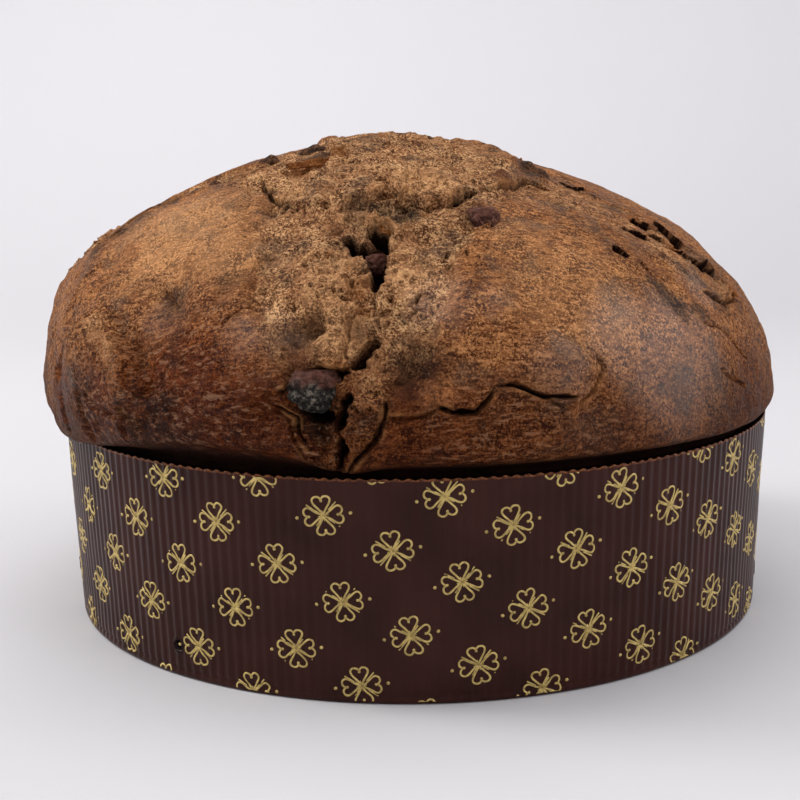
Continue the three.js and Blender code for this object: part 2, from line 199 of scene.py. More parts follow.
# Cracks, slits and folds. Half widths are given at each corner of the line, or one for all;
# below 0 the depth is a raised line. left and right are how far the crust stands up beside the
# line and how far that reaches, and lean is how far the left side hangs out over the line. steep
# is how wide the sides slope, jag how uneven the line runs, and dark how far its shade reaches.
creases = {
    "red pocket": {"photo": [(366, 235), (372, 243), (377, 251), (377, 262), (376, 272),
        (373, 282), (372, 292)],
        "half": [4.6, 5.0, 3.6, 2.0, 1.8, 1.2, 0.5], "depth": 10, "dark": 0.25},
    "pocket arm": {"photo": [(341, 229), (350, 236), (358, 243), (366, 248)],
        "half": [1.0, 2.0, 2.6, 2.6], "depth": 5.5, "dark": 0.2},
    "ledge": {"photo": [(345, 219), (357, 219), (370, 224), (383, 226), (395, 231)],
        "half": [1.0, 1.3, 1.5, 1.4, 0.8], "depth": -3.0},
    "under the ledge": {"photo": [(366, 229), (374, 230), (383, 230), (392, 233)],
        "half": [1.1, 1.8, 1.8, 1.0], "depth": 7, "left": (0.8, 2), "lean": 0.9},
    "closed crack": {"photo": [(372, 290), (377, 312), (379, 332)], "half": 0.4, "depth": 1.6},
    "plate edge": {"photo": [(368, 316), (356, 311), (346, 317), (344, 331), (342, 345),
        (340, 352), (350, 362)],
        "half": 0.5, "depth": 1.7, "right": (0.5, 3)},
    "black opening": {"photo": [(379, 333), (374, 341), (366, 346), (359, 356), (352, 369)],
        "half": [0.9, 1.7, 1.4, 1.6, 1.1], "depth": 13, "right": (0.7, 2)},
    "over the lump": {"photo": [(350, 369), (335, 372), (323, 367), (311, 366), (300, 374),
        (288, 384), (278, 397)],
        "half": [0.9, 1.5, 1.2, 1.1, 0.9, 0.8, 0.6], "depth": 6, "right": (1.0, 2)},
    "beside the lump": {"photo": [(353, 391), (346, 403), (339, 417), (337, 425)],
        "half": [1.2, 1.5, 1.2, 0.9], "depth": 8},
    "front crack low": {"photo": [(337, 421), (339, 436), (341, 449), (338, 459), (336, 471)],
        "half": [0.9, 1.1, 1.0, 0.8, 0.4], "depth": 9},
    "under the lump": {"photo": [(296, 411), (308, 416), (321, 416), (332, 408)],
        "half": [0.7, 1.7, 1.7, 0.8], "depth": 5},
    "left of the point": {"photo": [(266, 404), (282, 414), (295, 420), (299, 434), (308, 450),
        (316, 460), (334, 473)],
        "half": 0.42, "depth": 2.2, "left": (0.7, 2), "right": (1.3, 3), "jag": 0.5},
    "outer left line": {"photo": [(262, 409), (283, 420), (290, 430), (296, 444), (305, 458),
        (322, 471)],
        "half": 0.4, "depth": 1.1, "right": (0.4, 2), "jag": 0.5},
    "left crumb ridge": {"photo": [(250, 402), (262, 403), (277, 411)], "half": 1.5, "depth": -1.2,
        "steep": 1.2},
    "right of the point": {"photo": [(386, 399), (385, 419), (376, 437), (357, 455), (340, 472)],
        "half": [0.4, 0.5, 0.6, 0.5, 0.4], "depth": 3.0, "left": (1.5, 3), "right": (0.8, 3),
        "jag": 0.5},
    "bulge stripe": {"photo": [(350, 431), (361, 428), (372, 426)], "half": 0.5, "depth": -0.6},
    "bulge stripe two": {"photo": [(352, 418), (362, 412), (374, 402)], "half": 0.5, "depth": -0.4},
    "fold start": {"photo": [(388, 417), (402, 419), (420, 417), (438, 409)], "half": 0.45,
        "depth": 1.6, "left": (0.8, 3), "jag": 0.4},
    "fold pocket": {"photo": [(438, 406), (452, 411), (464, 412), (474, 412), (485, 402), (495, 388)],
        "half": [0.5, 0.8, 0.75, 0.7, 0.5, 0.4], "depth": 4.0, "left": (2.0, 6), "right": (0.4, 2),
        "jag": 0.4},
    "fold": {"photo": [(495, 388), (510, 385), (525, 389.5), (541, 396), (560, 397), (578, 396)],
        "half": [0.45, 0.5, 0.6, 0.6, 0.5, 0.35], "depth": 3.4, "left": (0.6, 3), "right": (2.0, 8),
        "jag": 0.35},
    "blister edge": {"photo": [(578, 403), (593, 390), (602, 371), (594, 356)], "half": 0.42,
        "depth": 1.7, "right": (0.8, 2), "jag": 0.4},
    "fold end": {"photo": [(541, 396), (549, 402), (560, 406), (578, 403)], "half": 0.4, "depth": 1.5,
        "right": (0.7, 2), "jag": 0.4},
    "fold tail": {"photo": [(559, 407), (561, 419), (566, 434)], "half": 0.8, "depth": 1.0,
        "steep": 1.2, "jag": 0.4},
    "stretch mark": {"photo": [(478, 417), (489, 444), (512, 470)], "half": 0.5, "depth": -0.8,
        "jag": 0.3},
    "skin edge right": {"photo": [(484, 242), (474, 280), (461, 301), (445, 326), (438, 341)],
        "half": 0.7, "depth": -0.5, "right": (0.6, 5)},
    "slit a": {"photo": [(438, 263), (445, 256), (450, 249)], "half": [0.3, 0.7, 0.5], "depth": 3},
    "slit b": {"photo": [(460, 241), (465, 248), (468, 260)], "half": [0.7, 0.5, 0.3], "depth": 2.4},
    "slit c": {"photo": [(445, 270), (451, 263)], "half": 0.5, "depth": 2.2},
    "slit d": {"photo": [(415, 301), (420, 291)], "half": 0.45, "depth": 2.2},
    "slit e": {"photo": [(411, 312), (415, 307)], "half": 0.4, "depth": 1.6},
    "valley left": {"photo": [(268, 341), (290, 332), (305, 320), (316, 312)],
        "half": [2, 3.5, 3.2, 2], "depth": 2.6, "steep": 2.6},
    "tongue edge": {"photo": [(334, 214), (345, 212), (360, 199), (380, 193), (402, 197),
        (422, 205), (442, 208), (462, 198), (478, 191)],
        "half": [0.4, 0.6, 0.7, 0.7, 0.9, 0.6, 0.8, 0.8, 0.6], "depth": 1.8, "left": (2.0, 8),
        "right": (-1.9, 7), "lean": 0.7},
    "pocket roof": {"photo": [(397, 198), (405, 203), (414, 209)], "half": [0.7, 1.4, 0.8],
        "depth": 5},
    "tongue right mouth": {"photo": [(449, 209), (457, 203), (466, 195), (479, 191)],
        "half": [0.7, 1.3, 1.0, 0.6], "depth": 7, "left": (0.7, 3), "dark": 0.15},
    "slit over the mouth": {"photo": [(466, 181), (473, 183), (480, 187)], "half": 0.6, "depth": 3},
    "tongue lip right": {"photo": [(478, 191), (487, 188), (497, 186), (508, 184), (520, 180),
        (533, 181), (552, 187)],
        "half": [0.4, 0.9, 1.1, 0.7, 0.9, 0.8, 0.4], "depth": 5, "left": (1.2, 6), "lean": 0.6},
    "tongue lip left": {"photo": [(258, 170), (264, 187), (272, 196), (286, 203), (304, 208)],
        "half": [0.4, 0.9, 0.7, 0.5, 0.4], "depth": 2.6, "left": (1.0, 6)},
    "red plate edge": {"photo": [(460, 213), (464, 222), (473, 229), (487, 230), (497, 222)],
        "half": 0.5, "depth": 1.8},
    "orange ridge": {"photo": [(276, 170), (296, 166), (320, 160), (354, 154)],
        "half": [0.5, 1.2, 1.5, 0.8], "depth": -1.9},
    "top fold": {"photo": [(402, 166), (424, 163), (425, 165)], "half": 0.5, "depth": 1.2},
    "right hole": {"photo": [(630, 217), (638, 221), (646, 223), (655, 224)],
        "half": [1.2, 3.4, 3.2, 1.2], "depth": 8, "left": (1.6, 3), "jag": 0.4, "dark": 0.6},
    "right slit low": {"photo": [(622, 224), (630, 229), (639, 234), (650, 238)],
        "half": [0.8, 1.3, 2.2, 1.0], "depth": 6, "jag": 0.4, "dark": 0.6},
    "right slit": {"photo": [(652, 235), (659, 237), (666, 239)], "half": [0.7, 1.5, 0.7], "depth": 6,
        "jag": 0.4, "dark": 0.6},
    "right crack": {"photo": [(652, 221), (660, 225), (668, 232), (676, 239), (685, 245)],
        "half": [0.8, 1.4, 1.8, 2.8, 1.4], "depth": 8, "left": (1.5, 3), "jag": 0.4, "dark": 0.6},
    "right crack low": {"photo": [(673, 243), (679, 248), (685, 253), (691, 257)],
        "half": [2.0, 3.2, 3.0, 1.2], "depth": 6, "jag": 0.4, "dark": 0.6},
    "right crack end": {"photo": [(692, 259), (699, 263), (706, 267), (712, 266)],
        "half": [1.6, 3.4, 2.8, 0.8], "depth": 8, "left": (1.5, 3), "jag": 0.4, "dark": 0.6},
    "right slit f": {"photo": [(609, 252), (617, 256), (626, 262)], "half": [0.6, 1.5, 0.7],
        "depth": 6, "jag": 0.3, "dark": 0.6},
    "right slit g": {"photo": [(638, 265), (646, 272)], "half": 0.7, "depth": 4, "jag": 0.3},
    "upper right gap": {"photo": [(560, 181), (567, 183), (575, 186), (588, 188)],
        "half": [0.8, 2.0, 1.4, 0.6], "depth": 7, "left": (0.8, 3), "jag": 0.4, "dark": 0.6},
    "right shelf": {"photo": [(702, 290), (712, 296), (724, 303), (733, 300), (734, 290)], "half": 0.7,
        "depth": 2.0, "left": (1.1, 4), "jag": 0.6},
    "right line": {"photo": [(698, 323), (715, 327), (731, 338), (748, 358)], "half": 0.4,
        "depth": 1.3, "jag": 0.4},
    "right line low": {"photo": [(719, 363), (727, 373), (746, 381)], "half": 0.5, "depth": 1.2},
    "crescent": {"photo": [(219, 328), (231, 313), (243, 307), (258, 308)], "half": 0.38, "depth": 1.4,
        "right": (0.9, 4), "jag": 0.3},
    "hollow line": {"photo": [(158, 283), (166, 297), (174, 312), (184, 318), (200, 315)], "half": 0.9,
        "depth": 1.6, "steep": 1.5, "right": (0.8, 3), "jag": 0.6},
    "hollow ridge": {"photo": [(140, 283), (152, 276), (168, 280), (178, 292)], "half": 1.4,
        "depth": -0.9, "steep": 1.4},
    "wave left of the edge": {"photo": [(216, 300), (223, 286), (232, 272), (238, 254)], "half": 1.6,
        "depth": 0.8, "steep": 2.2},
    "bulge crease": {"photo": [(66, 331), (77, 327), (88, 329), (103, 319)], "half": 1.0, "depth": 1.8,
        "steep": 1.4, "right": (2.6, 7), "jag": 0.4},
    "bulge ridge": {"photo": [(102, 322), (111, 331), (117, 347), (127, 366), (133, 392)],
        "half": [1.4, 2.4, 2.8, 2.4, 1.4], "depth": -3.0, "steep": 2.4},
    "bulge valley": {"photo": [(112, 314), (126, 332), (136, 356), (146, 384), (154, 404)],
        "half": [1.5, 2.2, 2.6, 2.4, 2], "depth": 2.6, "steep": 2.8},
    "bulge wrinkle a": {"photo": [(58, 372), (66, 352), (79, 340)], "half": 1.4, "depth": 1.9,
        "steep": 2.0},
    "bulge wrinkle b": {"photo": [(74, 420), (67, 398), (63, 378)], "half": 1.2, "depth": 1.9,
        "steep": 1.8, "left": (1.0, 3)},
    "bulge wrinkle c": {"photo": [(98, 432), (88, 405), (84, 380)], "half": 1.5, "depth": 1.8,
        "steep": 2.0},
    "bulge wrinkle d": {"photo": [(90, 384), (104, 402), (122, 413), (140, 418)], "half": 0.9,
        "depth": 1.2, "steep": 1.5, "left": (0.9, 3)},
    "edge wrinkle": {"photo": [(72, 318), (83, 296), (100, 276), (124, 262)], "half": 1.6,
        "depth": 1.2, "steep": 2.2},
    "left fold low": {"photo": [(131, 404), (128, 424), (133, 440)], "half": 0.9, "depth": 1.2,
        "steep": 1.4},
    "skin edge left": {"photo": [(252, 178), (248, 199), (247, 228), (247, 266), (251, 295),
        (260, 325), (285, 375)],
        "half": [0.8, 1.1, 1.3, 1.4, 1.3, 1.5, 1.2], "depth": 1.3, "steep": 1.2, "left": (0.5, 5),
        "right": (0.5, 6)},
    "left lobe edge": {"photo": [(95, 262), (122, 240), (136, 227), (159, 212), (189, 198),
        (207, 190), (236, 176)],
        "half": [0.6, 1.0, 0.8, 1.1, 0.9, 0.8, 0.5], "depth": 2.6, "left": (1.2, 5),
        "right": (1.0, 5)},
    "left flank": {"at": [(-71, 127), (-82, 118), (-88, 108), (-90, 97)], "half": [0.6, 1.8, 1.5, 0.6],
        "depth": 6},
    "back crack": {"at": [(158, 131), (166, 122), (164, 113), (171, 105), (168, 96), (172, 84)],
        "half": [0.6, 1.8, 2.2, 1.5, 1.8, 0.6], "depth": 10},
    "back branch": {"at": [(150, 124), (158, 126), (171, 123), (182, 126)],
        "half": [0.5, 1.6, 1.4, 0.5], "depth": 6},
    "back fold": {"at": [(120, 80), (128, 77), (134, 82), (142, 80)], "half": 0.8, "depth": 3,
        "right": (1.4, 8)},
    "left back fold": {"at": [(-140, 84), (-131, 88), (-125, 84), (-117, 86)], "half": 0.8, "depth": 3,
        "right": (1.4, 8)},
}

# small round forms in the photograph: place, radius and rise; the steep ones have an edge
bumps = {
    "soft": [
        (455, 397, 5.0, 1.3), (310, 415, 6, -1.8), (316, 440, 5, -1.6), (308, 392, 8.5, -3.0),
        (352, 258, 8, -2.0), (342, 236, 5.5, -2.6), (374, 209, 8, -3.4), (402, 213, 7, -3.2),
        (428, 212, 4, -2.0), (357, 336, 6.0, -2.2), (346, 292, 2.6, -2.2), (310, 320, 6.5, -2.6),
        (328, 205, 3.0, -2.4), (420, 367, 6.5, -1.6), (441, 358, 2.6, 0.9), (313, 313, 3.4, -1.6),
        (290, 193, 4.5, 1.6), (166, 300, 6, -1.6), (233, 272, 4, -1.0), (228, 288, 3, -0.8),
        (657, 230, 3.6, 0.9), (500, 178, 3.4, 1.4), (478, 217, 5.6, -1.0),
    ],
    "steep": [
        (363, 413, 5.4, 2.4), (568, 374, 7.5, 1.5), (355, 211, 2.4, -3.0), (267, 187, 2.2, -3.4),
        (265, 207, 1.9, -2.0), (382, 183, 2.6, -2.8), (354, 212, 1.5, -4.0), (322, 204, 1.4, -2.6),
        (338, 197, 1.2, -1.8), (401, 191, 0.9, -2.0), (449, 155, 2.0, -1.8), (427, 148, 0.8, -2.0),
        (256, 227, 0.8, -1.8), (266, 250, 0.8, -2.0), (275, 251, 0.6, -1.6), (262, 281, 1.0, -2.2),
        (259, 288, 0.9, -2.0), (327, 251, 1.2, -2.6), (344, 274, 1.3, -2.4), (352, 279, 1.2, -2.0),
        (360, 266, 1.5, -2.6), (367, 281, 1.6, -2.6), (343, 295, 1.3, -1.8),
    ],
}

# where the crust hangs down over the rim or stands clear of it: azimuth, half width in degrees,
# how far down
sags = [(-66, 20, 4.6), (-28, 15, -2.6), (-9.5, 4.5, 2.4), (58, 26, 1.4)]

# where the crumb shows coarse and full of holes: place, radius and share
crumbs = {
    "photo": [
        (345, 262, 13, 1.0), (420, 186, 13, 0.9), (300, 200, 10, 0.7), (388, 212, 10, 0.6),
        (375, 300, 10, 0.5), (318, 300, 12, 0.5), (340, 400, 8, 0.6), (390, 400, 9, 0.5),
        (665, 240, 15, 0.3), (715, 275, 10, 0.3), (330, 165, 14, 0.5), (600, 210, 14, 0.2),
    ],
    "at": [
        (166, 118, 26, 0.8), (-86, 112, 14, 0.7), (170, 90, 14, 0.6),
    ],
}

# patches of colour on the crust, some of them painted sheen, highlights or shade: place, radius and strength
tones = {
    # burnt dark patches, and also painted shade under the lump and in the hollow under the tongue's lip
    "char_and_shade": {
        "photo": [
            (370, 209, 9, 0.85), (400, 213, 9, 0.85), (342, 238, 6, 0.5), (368, 262, 4, 0.6),
            (420, 367, 8, 0.7), (310, 318, 5, 0.5), (292, 332, 5, 0.4), (150, 428, 16, 0.55),
            (566, 205, 6, 0.6), (614, 206, 5, 0.6), (653, 288, 5, 0.9), (666, 297, 5, 0.8),
            (677, 307, 6, 0.85), (697, 311, 4.5, 0.8), (684, 268, 4, 0.8), (718, 298, 7, 0.6),
            (267, 187, 4, 0.7), (166, 302, 7, 0.55), (316, 150, 9, 0.7), (532, 172, 8, 0.9),
            (101, 259, 5, 0.7), (122, 240, 5, 0.7), (146, 221, 5, 0.7), (172, 206, 5, 0.7),
            (198, 194, 5, 0.65), (224, 183, 5, 0.6), (600, 194, 5, 0.45), (628, 206, 5, 0.45),
            (660, 222, 4, 0.45), (690, 247, 4.5, 0.45), (714, 272, 5, 0.45), (736, 304, 5, 0.45),
            (80, 395, 14, 0.35), (232, 278, 6, 0.35), (312, 418, 8, 0.95), (720, 395, 12, 0.35),
            (442, 352, 4, 0.5), (236, 205, 6, 0.4),
        ],
        "at": [
            (150, 84, 14, 0.5), (-125, 78, 16, 0.4), (105, 76, 12, 0.4), (-165, 118, 10, 0.5),
        ],
    },
    # painted sheen: greyish patches that stand in for the reflection of the bright floor and backdrop
    "painted_sheen": {
        "photo": [
            (680, 370, 26, 1.0), (630, 340, 18, 0.7), (560, 370, 11, 0.35), (160, 315, 10, 0.35),
            (270, 330, 10, 0.25), (440, 300, 12, 0.4), (490, 300, 7, 0.25), (700, 290, 10, 0.5),
            (240, 335, 9, 0.5),
        ],
        "at": [
            (120, 96, 24, 0.7), (-140, 100, 22, 0.6),
        ],
    },
    # golden crust, with painted highlights on the lit left lobe and on the ridge of the left bulge
    "gold": {
        "photo": [
            (180, 232, 30, 0.9), (225, 250, 16, 0.7), (425, 184, 15, 1.0), (345, 262, 12, 0.8),
            (405, 270, 11, 0.7), (575, 290, 26, 0.4), (345, 219, 3, 0.9), (360, 221, 3, 1.0),
            (378, 225, 3, 1.0), (392, 229, 2.6, 0.9), (290, 193, 8, 0.9), (104, 330, 5, 0.9),
            (114, 350, 5.5, 1.0), (122, 374, 5, 0.8), (520, 240, 16, 0.3), (330, 315, 14, 0.6),
            (150, 350, 8, 0.4), (330, 340, 7, 0.8), (440, 395, 6, 0.4), (384, 240, 4, 0.9),
        ],
        "at": [
            (150, 110, 24, 0.6), (-110, 118, 24, 0.6),
        ],
    },
    "red": {
        "photo": [
            (478, 216, 7.5, 1.0), (375, 240, 4.5, 1.0), (502, 180, 5, 0.8), (298, 352, 8, 0.6),
            (300, 376, 9, 0.7), (402, 398, 8, 0.6), (350, 388, 6, 0.6), (322, 150, 8, 0.5),
            (660, 228, 7, 0.7), (365, 412, 6, 0.5),
        ],
        "at": [
            (166, 112, 10, 0.6),
        ],
    },
    "wrinkled": {
        "photo": [
            (190, 370, 34, 1.0), (110, 380, 26, 1.0), (560, 430, 30, 0.5), (160, 300, 14, 0.7),
            (316, 440, 10, 1.0), (365, 420, 8, 0.8), (490, 435, 22, 0.8), (235, 400, 20, 1.0),
        ],
        "at": [
            (110, 90, 40, 0.7), (-130, 90, 40, 0.8),
        ],
    },
    # darker crust, and also painted shade on the low crust near the mould and in the hollows round the point
    "darker_and_shaded": {
        "photo": [
            (185, 405, 34, 1.0), (262, 430, 26, 0.9), (420, 440, 26, 0.7), (500, 430, 18, 0.5),
            (105, 412, 20, 0.95), (66, 385, 16, 0.8), (140, 350, 8, 0.7), (235, 375, 14, 0.5),
            (330, 440, 14, 0.8), (365, 425, 13, 0.8), (348, 455, 9, 0.9), (340, 385, 9, 0.7),
            (600, 440, 20, 0.3), (752, 380, 16, 0.5), (128, 262, 8, 0.4),
        ],
        "at": [
            (100, 78, 34, 0.7), (-120, 80, 36, 0.7), (150, 76, 30, 0.6), (-160, 78, 30, 0.6),
        ],
    },
    "amber": {
        "photo": [
            (427, 212, 2.6, 1.0), (300, 166, 4.5, 0.7), (318, 162, 4.5, 0.8), (338, 158, 4, 0.8),
            (248, 388, 8, 0.6), (678, 245, 5, 1.0), (632, 215, 5, 1.0), (650, 217, 5, 1.0),
            (664, 227, 4, 1.0), (582, 186, 5, 1.0), (325, 368, 4.5, 0.8), (520, 168, 5, 0.8),
            (735, 292, 4, 0.9), (360, 286, 4.5, 0.6), (196, 400, 12, 0.3), (365, 312, 3.5, 0.7),
        ],
    },
}


# shares of 0 to 1 round a list of places, which fade out at their radius
def shareOf(points, spots):
    total = np.zeros(len(points))
    for kind, rows in spots.items():
        for x, y, radius, share in rows:
            reach = np.linalg.norm(points - placesOf({kind: [(x, y)]})[0], axis=1) / radius
            total = np.maximum(total, share * (1 - smooth(0.35, 1.0, reach)))
    return total


def bandShare(points, band):
    nearest = np.full(len(points), 1e9)
    middle = np.array([onDome(azimuth, height) for azimuth, height, _ in band])
    for i in range(len(band) - 1):
        way = middle[i + 1] - middle[i]
        t = np.clip((points - middle[i]) @ way / (way @ way), 0, 1)
        distance = np.linalg.norm(points - (middle[i] + t[:, None] * way), axis=1)
        halfWidth = band[i][2] + t * (band[i + 1][2] - band[i][2])
        nearest = np.minimum(nearest, distance / halfWidth)
    return nearest


loafMesh = {
    "balls": 6,                 # the icosphere that the loaf is shaped from
    "domeEnd": 2.15, "wallEnd": 2.6,   # polar angles where the dome and the hidden wall end
    "edge": 1.2, "backEdge": 2.1, "tornEdge": 0.92, "crackEdge": 0.42, "hiddenEdge": 12.0,
    "passes": 4, "maxFaces": 196000,
}


# the loaf's outline from the peak down: arc length, radius and height
def loafOutline():
    turn = np.linspace(0, math.pi / 2, 200)
    upper = dome["widestHeight"] + dome["rise"] * np.cos(turn)
    lower = dome["widestHeight"] - (dome["widestHeight"] - dome["neckHeight"]) * np.sin(turn[1:])
    height = np.concatenate([upper, lower])
    radius = domeRadius(height)
    radius[0] = 0
    arc = np.concatenate([[0], np.cumsum(np.hypot(np.diff(radius), np.diff(height)))])
    return arc, radius, height


# moves directions on a unit ball onto the loaf, before it is roughened
def ballToLoaf(directions, outline):
    arc, radius, height = outline
    polar = np.arccos(np.clip(directions[:, 2], -1, 1))
    around = np.arctan2(directions[:, 1], directions[:, 0])
    along = polar / loafMesh["domeEnd"] * arc[-1]
    wall = np.clip((polar - loafMesh["domeEnd"]) / (loafMesh["wallEnd"] - loafMesh["domeEnd"]), 0, 1)
    floor = np.clip((polar - loafMesh["wallEnd"]) / (math.pi - loafMesh["wallEnd"]), 0, 1)
    flat = np.interp(along, arc, radius)
    level = np.interp(along, arc, height)
    flat = np.where(wall > 0, dome["neckRadius"] + (dome["baseRadius"] - dome["neckRadius"]) * wall, flat)
    level = np.where(wall > 0, dome["neckHeight"] + (dome["baseHeight"] - dome["neckHeight"]) * wall, level)
    flat = np.where(floor > 0, dome["baseRadius"] * (1 - floor), flat)
    return np.stack([flat * np.cos(around), flat * np.sin(around), level], 1)


def vertexArray(mesh):
    return np.array([vertex.co[:] for vertex in mesh.verts])


# how fine the mesh has to be at each point
def wantedEdge(points, lines):
    normals = outward(points)
    behind = smooth(0, 30, points[:, 1])
    edge = loafMesh["edge"] + (loafMesh["backEdge"] - loafMesh["edge"]) * behind
    edge = edge + (loafMesh["tornEdge"] + 0.5 * behind - edge) * tornShare(points)
    for line, crease in zip(lines, creases.values()):
        near = np.linalg.norm(points - line.mean(0), axis=1) < np.ptp(line, axis=0).max() + 12
        if near.any():
            left = besideLine(points[near], normals[near], line)[2]
            close = 1 - smooth(1.0, 2.2, np.abs(left) / (np.max(crease["half"]) + 0.5))
            close = close * (crease.get("steep", 0.5) < 1)
            edge[near] += (loafMesh["crackEdge"] * (1 + 0.6 * behind[near]) - edge[near]) * close
    hidden = points[:, 2] < dome["neckHeight"] + 0.5
    return np.where(hidden, loafMesh["hiddenEdge"], edge)


def tornShare(points, crisp=0.06):
    ragged = 0.16 * cloudy(points, 14, 7.3) + 0.06 * cloudy(points, 4, 2.1)
    edge = np.linalg.norm(points - onDome(*torn["middle"]), axis=1) / torn["middleRadius"] + ragged
    total = 1 - smooth(0.96 - crisp, 0.96 + crisp, edge)
    for strength, band in torn["bands"]:
        edge = bandShare(points, band) + ragged
        total = np.maximum(total, strength * (1 - smooth(0.96 - crisp, 0.96 + crisp, edge)))
    return total


# heights in millimetres of the crust's uneven forms, from slow waves to grain
relief = {
    "jags": [(5.2, 1.2), (2.3, 0.75), (1.1, 0.4)],     # size and reach of the bends along edges
    "slow": 1.8, "middling": 0.7,
    "tornLumps": 0.5, "tornGrain": 0.45, "tornKnobs": 0.35, "tornWaves": 0.8,
    "crumbLumps": 0.9, "crumbFibres": 0.3, "crumbGrain": 0.5, "crumbHoles": 1.7,
    "dimples": 0.3, "fineDimples": 0.16, "wrinkles": 0.5, "skinWaves": 0.7,
    "trenchGrain": 0.5,
    "tuck": 2.6, "tuckHeight": 61.4, "tuckWidth": 1.7,   # the crust turns in above the rim
}


# pushes the crust in and out, and gives back the new points with the masks that colour them
def roughen(points, lines):
    c = relief
    normals = outward(points)
    jag = np.zeros_like(points)
    for size, reach in c["jags"]:
        jag += np.stack([cloudy(points, size, seed + size) for seed in (1.7, 13.3, 29.9)], 1) * reach
    bent = points + jag
    ripped = tornShare(points)
    crumbly = np.clip(shareOf(points, crumbs) * (0.4 + 0.6 * ripped) + 0.3 * ripped, 0, 1)

    push = c["slow"] * cloudy(points, 46, 7.3) + c["middling"] * cloudy(points, 19, 7.3)
    push -= torn["drop"] * ripped
    push += tongue["lift"] * (1 - smooth(0.88, 1.04, bandShare(points, tongue["spine"])))
    for azimuth, height, radius, rise in swellings:
        reach = np.linalg.norm(points - onDome(azimuth, height), axis=1) / radius
        push += rise * np.exp(-1.6 * reach ** 2)

    # torn crumb: coarse lumps, strands pulled across the tear, and small holes
    lumpy = 1 - 2 * np.abs(cloudy(points, 7.5, 5.5))
    fibres = 1 - 2 * np.abs(cloudy(points * np.array([0.45, 0.45, 1.0]), 2.1, 9.1))
    grain = cloudy(points, 1.5, 21.7)
    holes = smooth(0.30, 0.50, cloudy(points, 3.0, 33.3)) + smooth(0.34, 0.5, cloudy(points, 1.7, 51.0))
    knobs, waves = cloudy(points, 3.4, 25.0), cloudy(points, 12, 61.0)
    push += ripped * (c["tornLumps"] * lumpy + c["tornGrain"] * grain + c["tornKnobs"] * knobs
                      + c["tornWaves"] * waves)
    push += crumbly * (c["crumbLumps"] * lumpy + c["crumbFibres"] * fibres + c["crumbGrain"] * grain
                       - c["crumbHoles"] * holes)

    # smooth skin: dimples, and wrinkles in patches
    skin = 1 - ripped
    wrinkles = 1 - 2 * np.abs(cloudy(points * np.array([1, 1, 1.7]), 8, 77.0))
    creased = smooth(0.0, 0.5, cloudy(points, 24, 91.0) + 0.3 * (points[:, 0] < -20))
    dimples, fine = cloudy(points, 3.4, 81.0), cloudy(points, 1.7, 83.0)
    push += skin * (c["dimples"] * dimples + c["fineDimples"] * fine + c["wrinkles"] * wrinkles * creased)
    push += skin * c["skinWaves"] * cloudy(points, 11, 87.0)

    for kind, rows in bumps.items():
        for x, y, radius, rise in rows:
            reach = np.linalg.norm(bent * 0.6 + points * 0.4 - fromPhoto(x, y), axis=1) / radius
            push += rise * (1 - smooth(0.6, 1.1, reach) if kind == "steep" else np.exp(-1.8 * reach ** 2))

    opened, crestHighlights = np.zeros(len(points)), np.zeros(len(points))
    slide = np.zeros_like(points)
    for line, crease in zip(lines, creases.values()):
        margin = 14 + 2 * max(crease[side][1] if side in crease else 0 for side in ("left", "right"))
        near = np.linalg.norm(points - line.mean(0), axis=1) < np.ptp(line, axis=0).max() * 0.7 + margin
        if not near.any():
            continue
        jagged = crease.get("jag", 1.0 if abs(crease["depth"]) > 2.9 else 0.5)
        here = (points + jagged * jag)[near]
        share, corner, left = besideLine(here, normals[near], line)
        taper = np.clip(np.minimum(share, 1 - share) * 10, 0, 1)
        half = np.interp(corner, range(len(line)), np.broadcast_to(crease["half"], len(line)))
        half = half * (1 + (0.15 + 0.25 * jagged) * cloudy(points[near], 3.5, 101.0))
        steep = crease.get("steep", 0.5)
        trench = (1 - smooth(half - steep / 2, half + steep / 2, np.abs(left))) * taper
        change = -crease["depth"] * trench * (0.8 + 0.4 * cloudy(points[near], 5, 111.0))
        change += c["trenchGrain"] * trench * grain[near]
        for side, sign in (("left", 1), ("right", -1)):
            if side in crease:
                rise, reach = crease[side]
                away = np.clip(left * sign, 0, None) / reach
                change += rise * taper * np.exp(-away * 1.8) * smooth(-0.3, 0.4, left * sign)
                # a painted highlight along the crest of each raised side, in a lighter orange tint
                edge = np.exp(-((left * sign - half - 0.35) / 0.4) ** 2) * taper * min(1, rise)
                edge = edge * smooth(-0.25, 0.25, cloudy(points[near], 4, 131.0))
                crestHighlights[near] = np.maximum(crestHighlights[near], edge)
        push[near] += change
        if "lean" in crease:
            across = unit(np.cross(normals[near], line[-1] - line[0]))
            over = crease["lean"] * taper * np.exp(-np.abs(left - half) / 2.6)
            slide[near] -= across * (over * (left * np.sign(crease["lean"]) > 0))[:, None]
        # painted shade: the depths of the deep cracks are coloured near black
        if crease["depth"] > 1.9 and steep < 0.8:
            shade = crease.get("dark", 0)
            wavy = half + shade + 0.35 * cloudy(points[near], 1.6, 141.0) * min(1, shade * 3)
            dark = (1 - smooth(wavy - 0.35, wavy + 0.25, np.abs(left))) * smooth(0.1, 0.7, taper)
            dark = dark * min(1, crease["depth"] / 3.2)
            opened[near] = np.maximum(opened[near], dark)

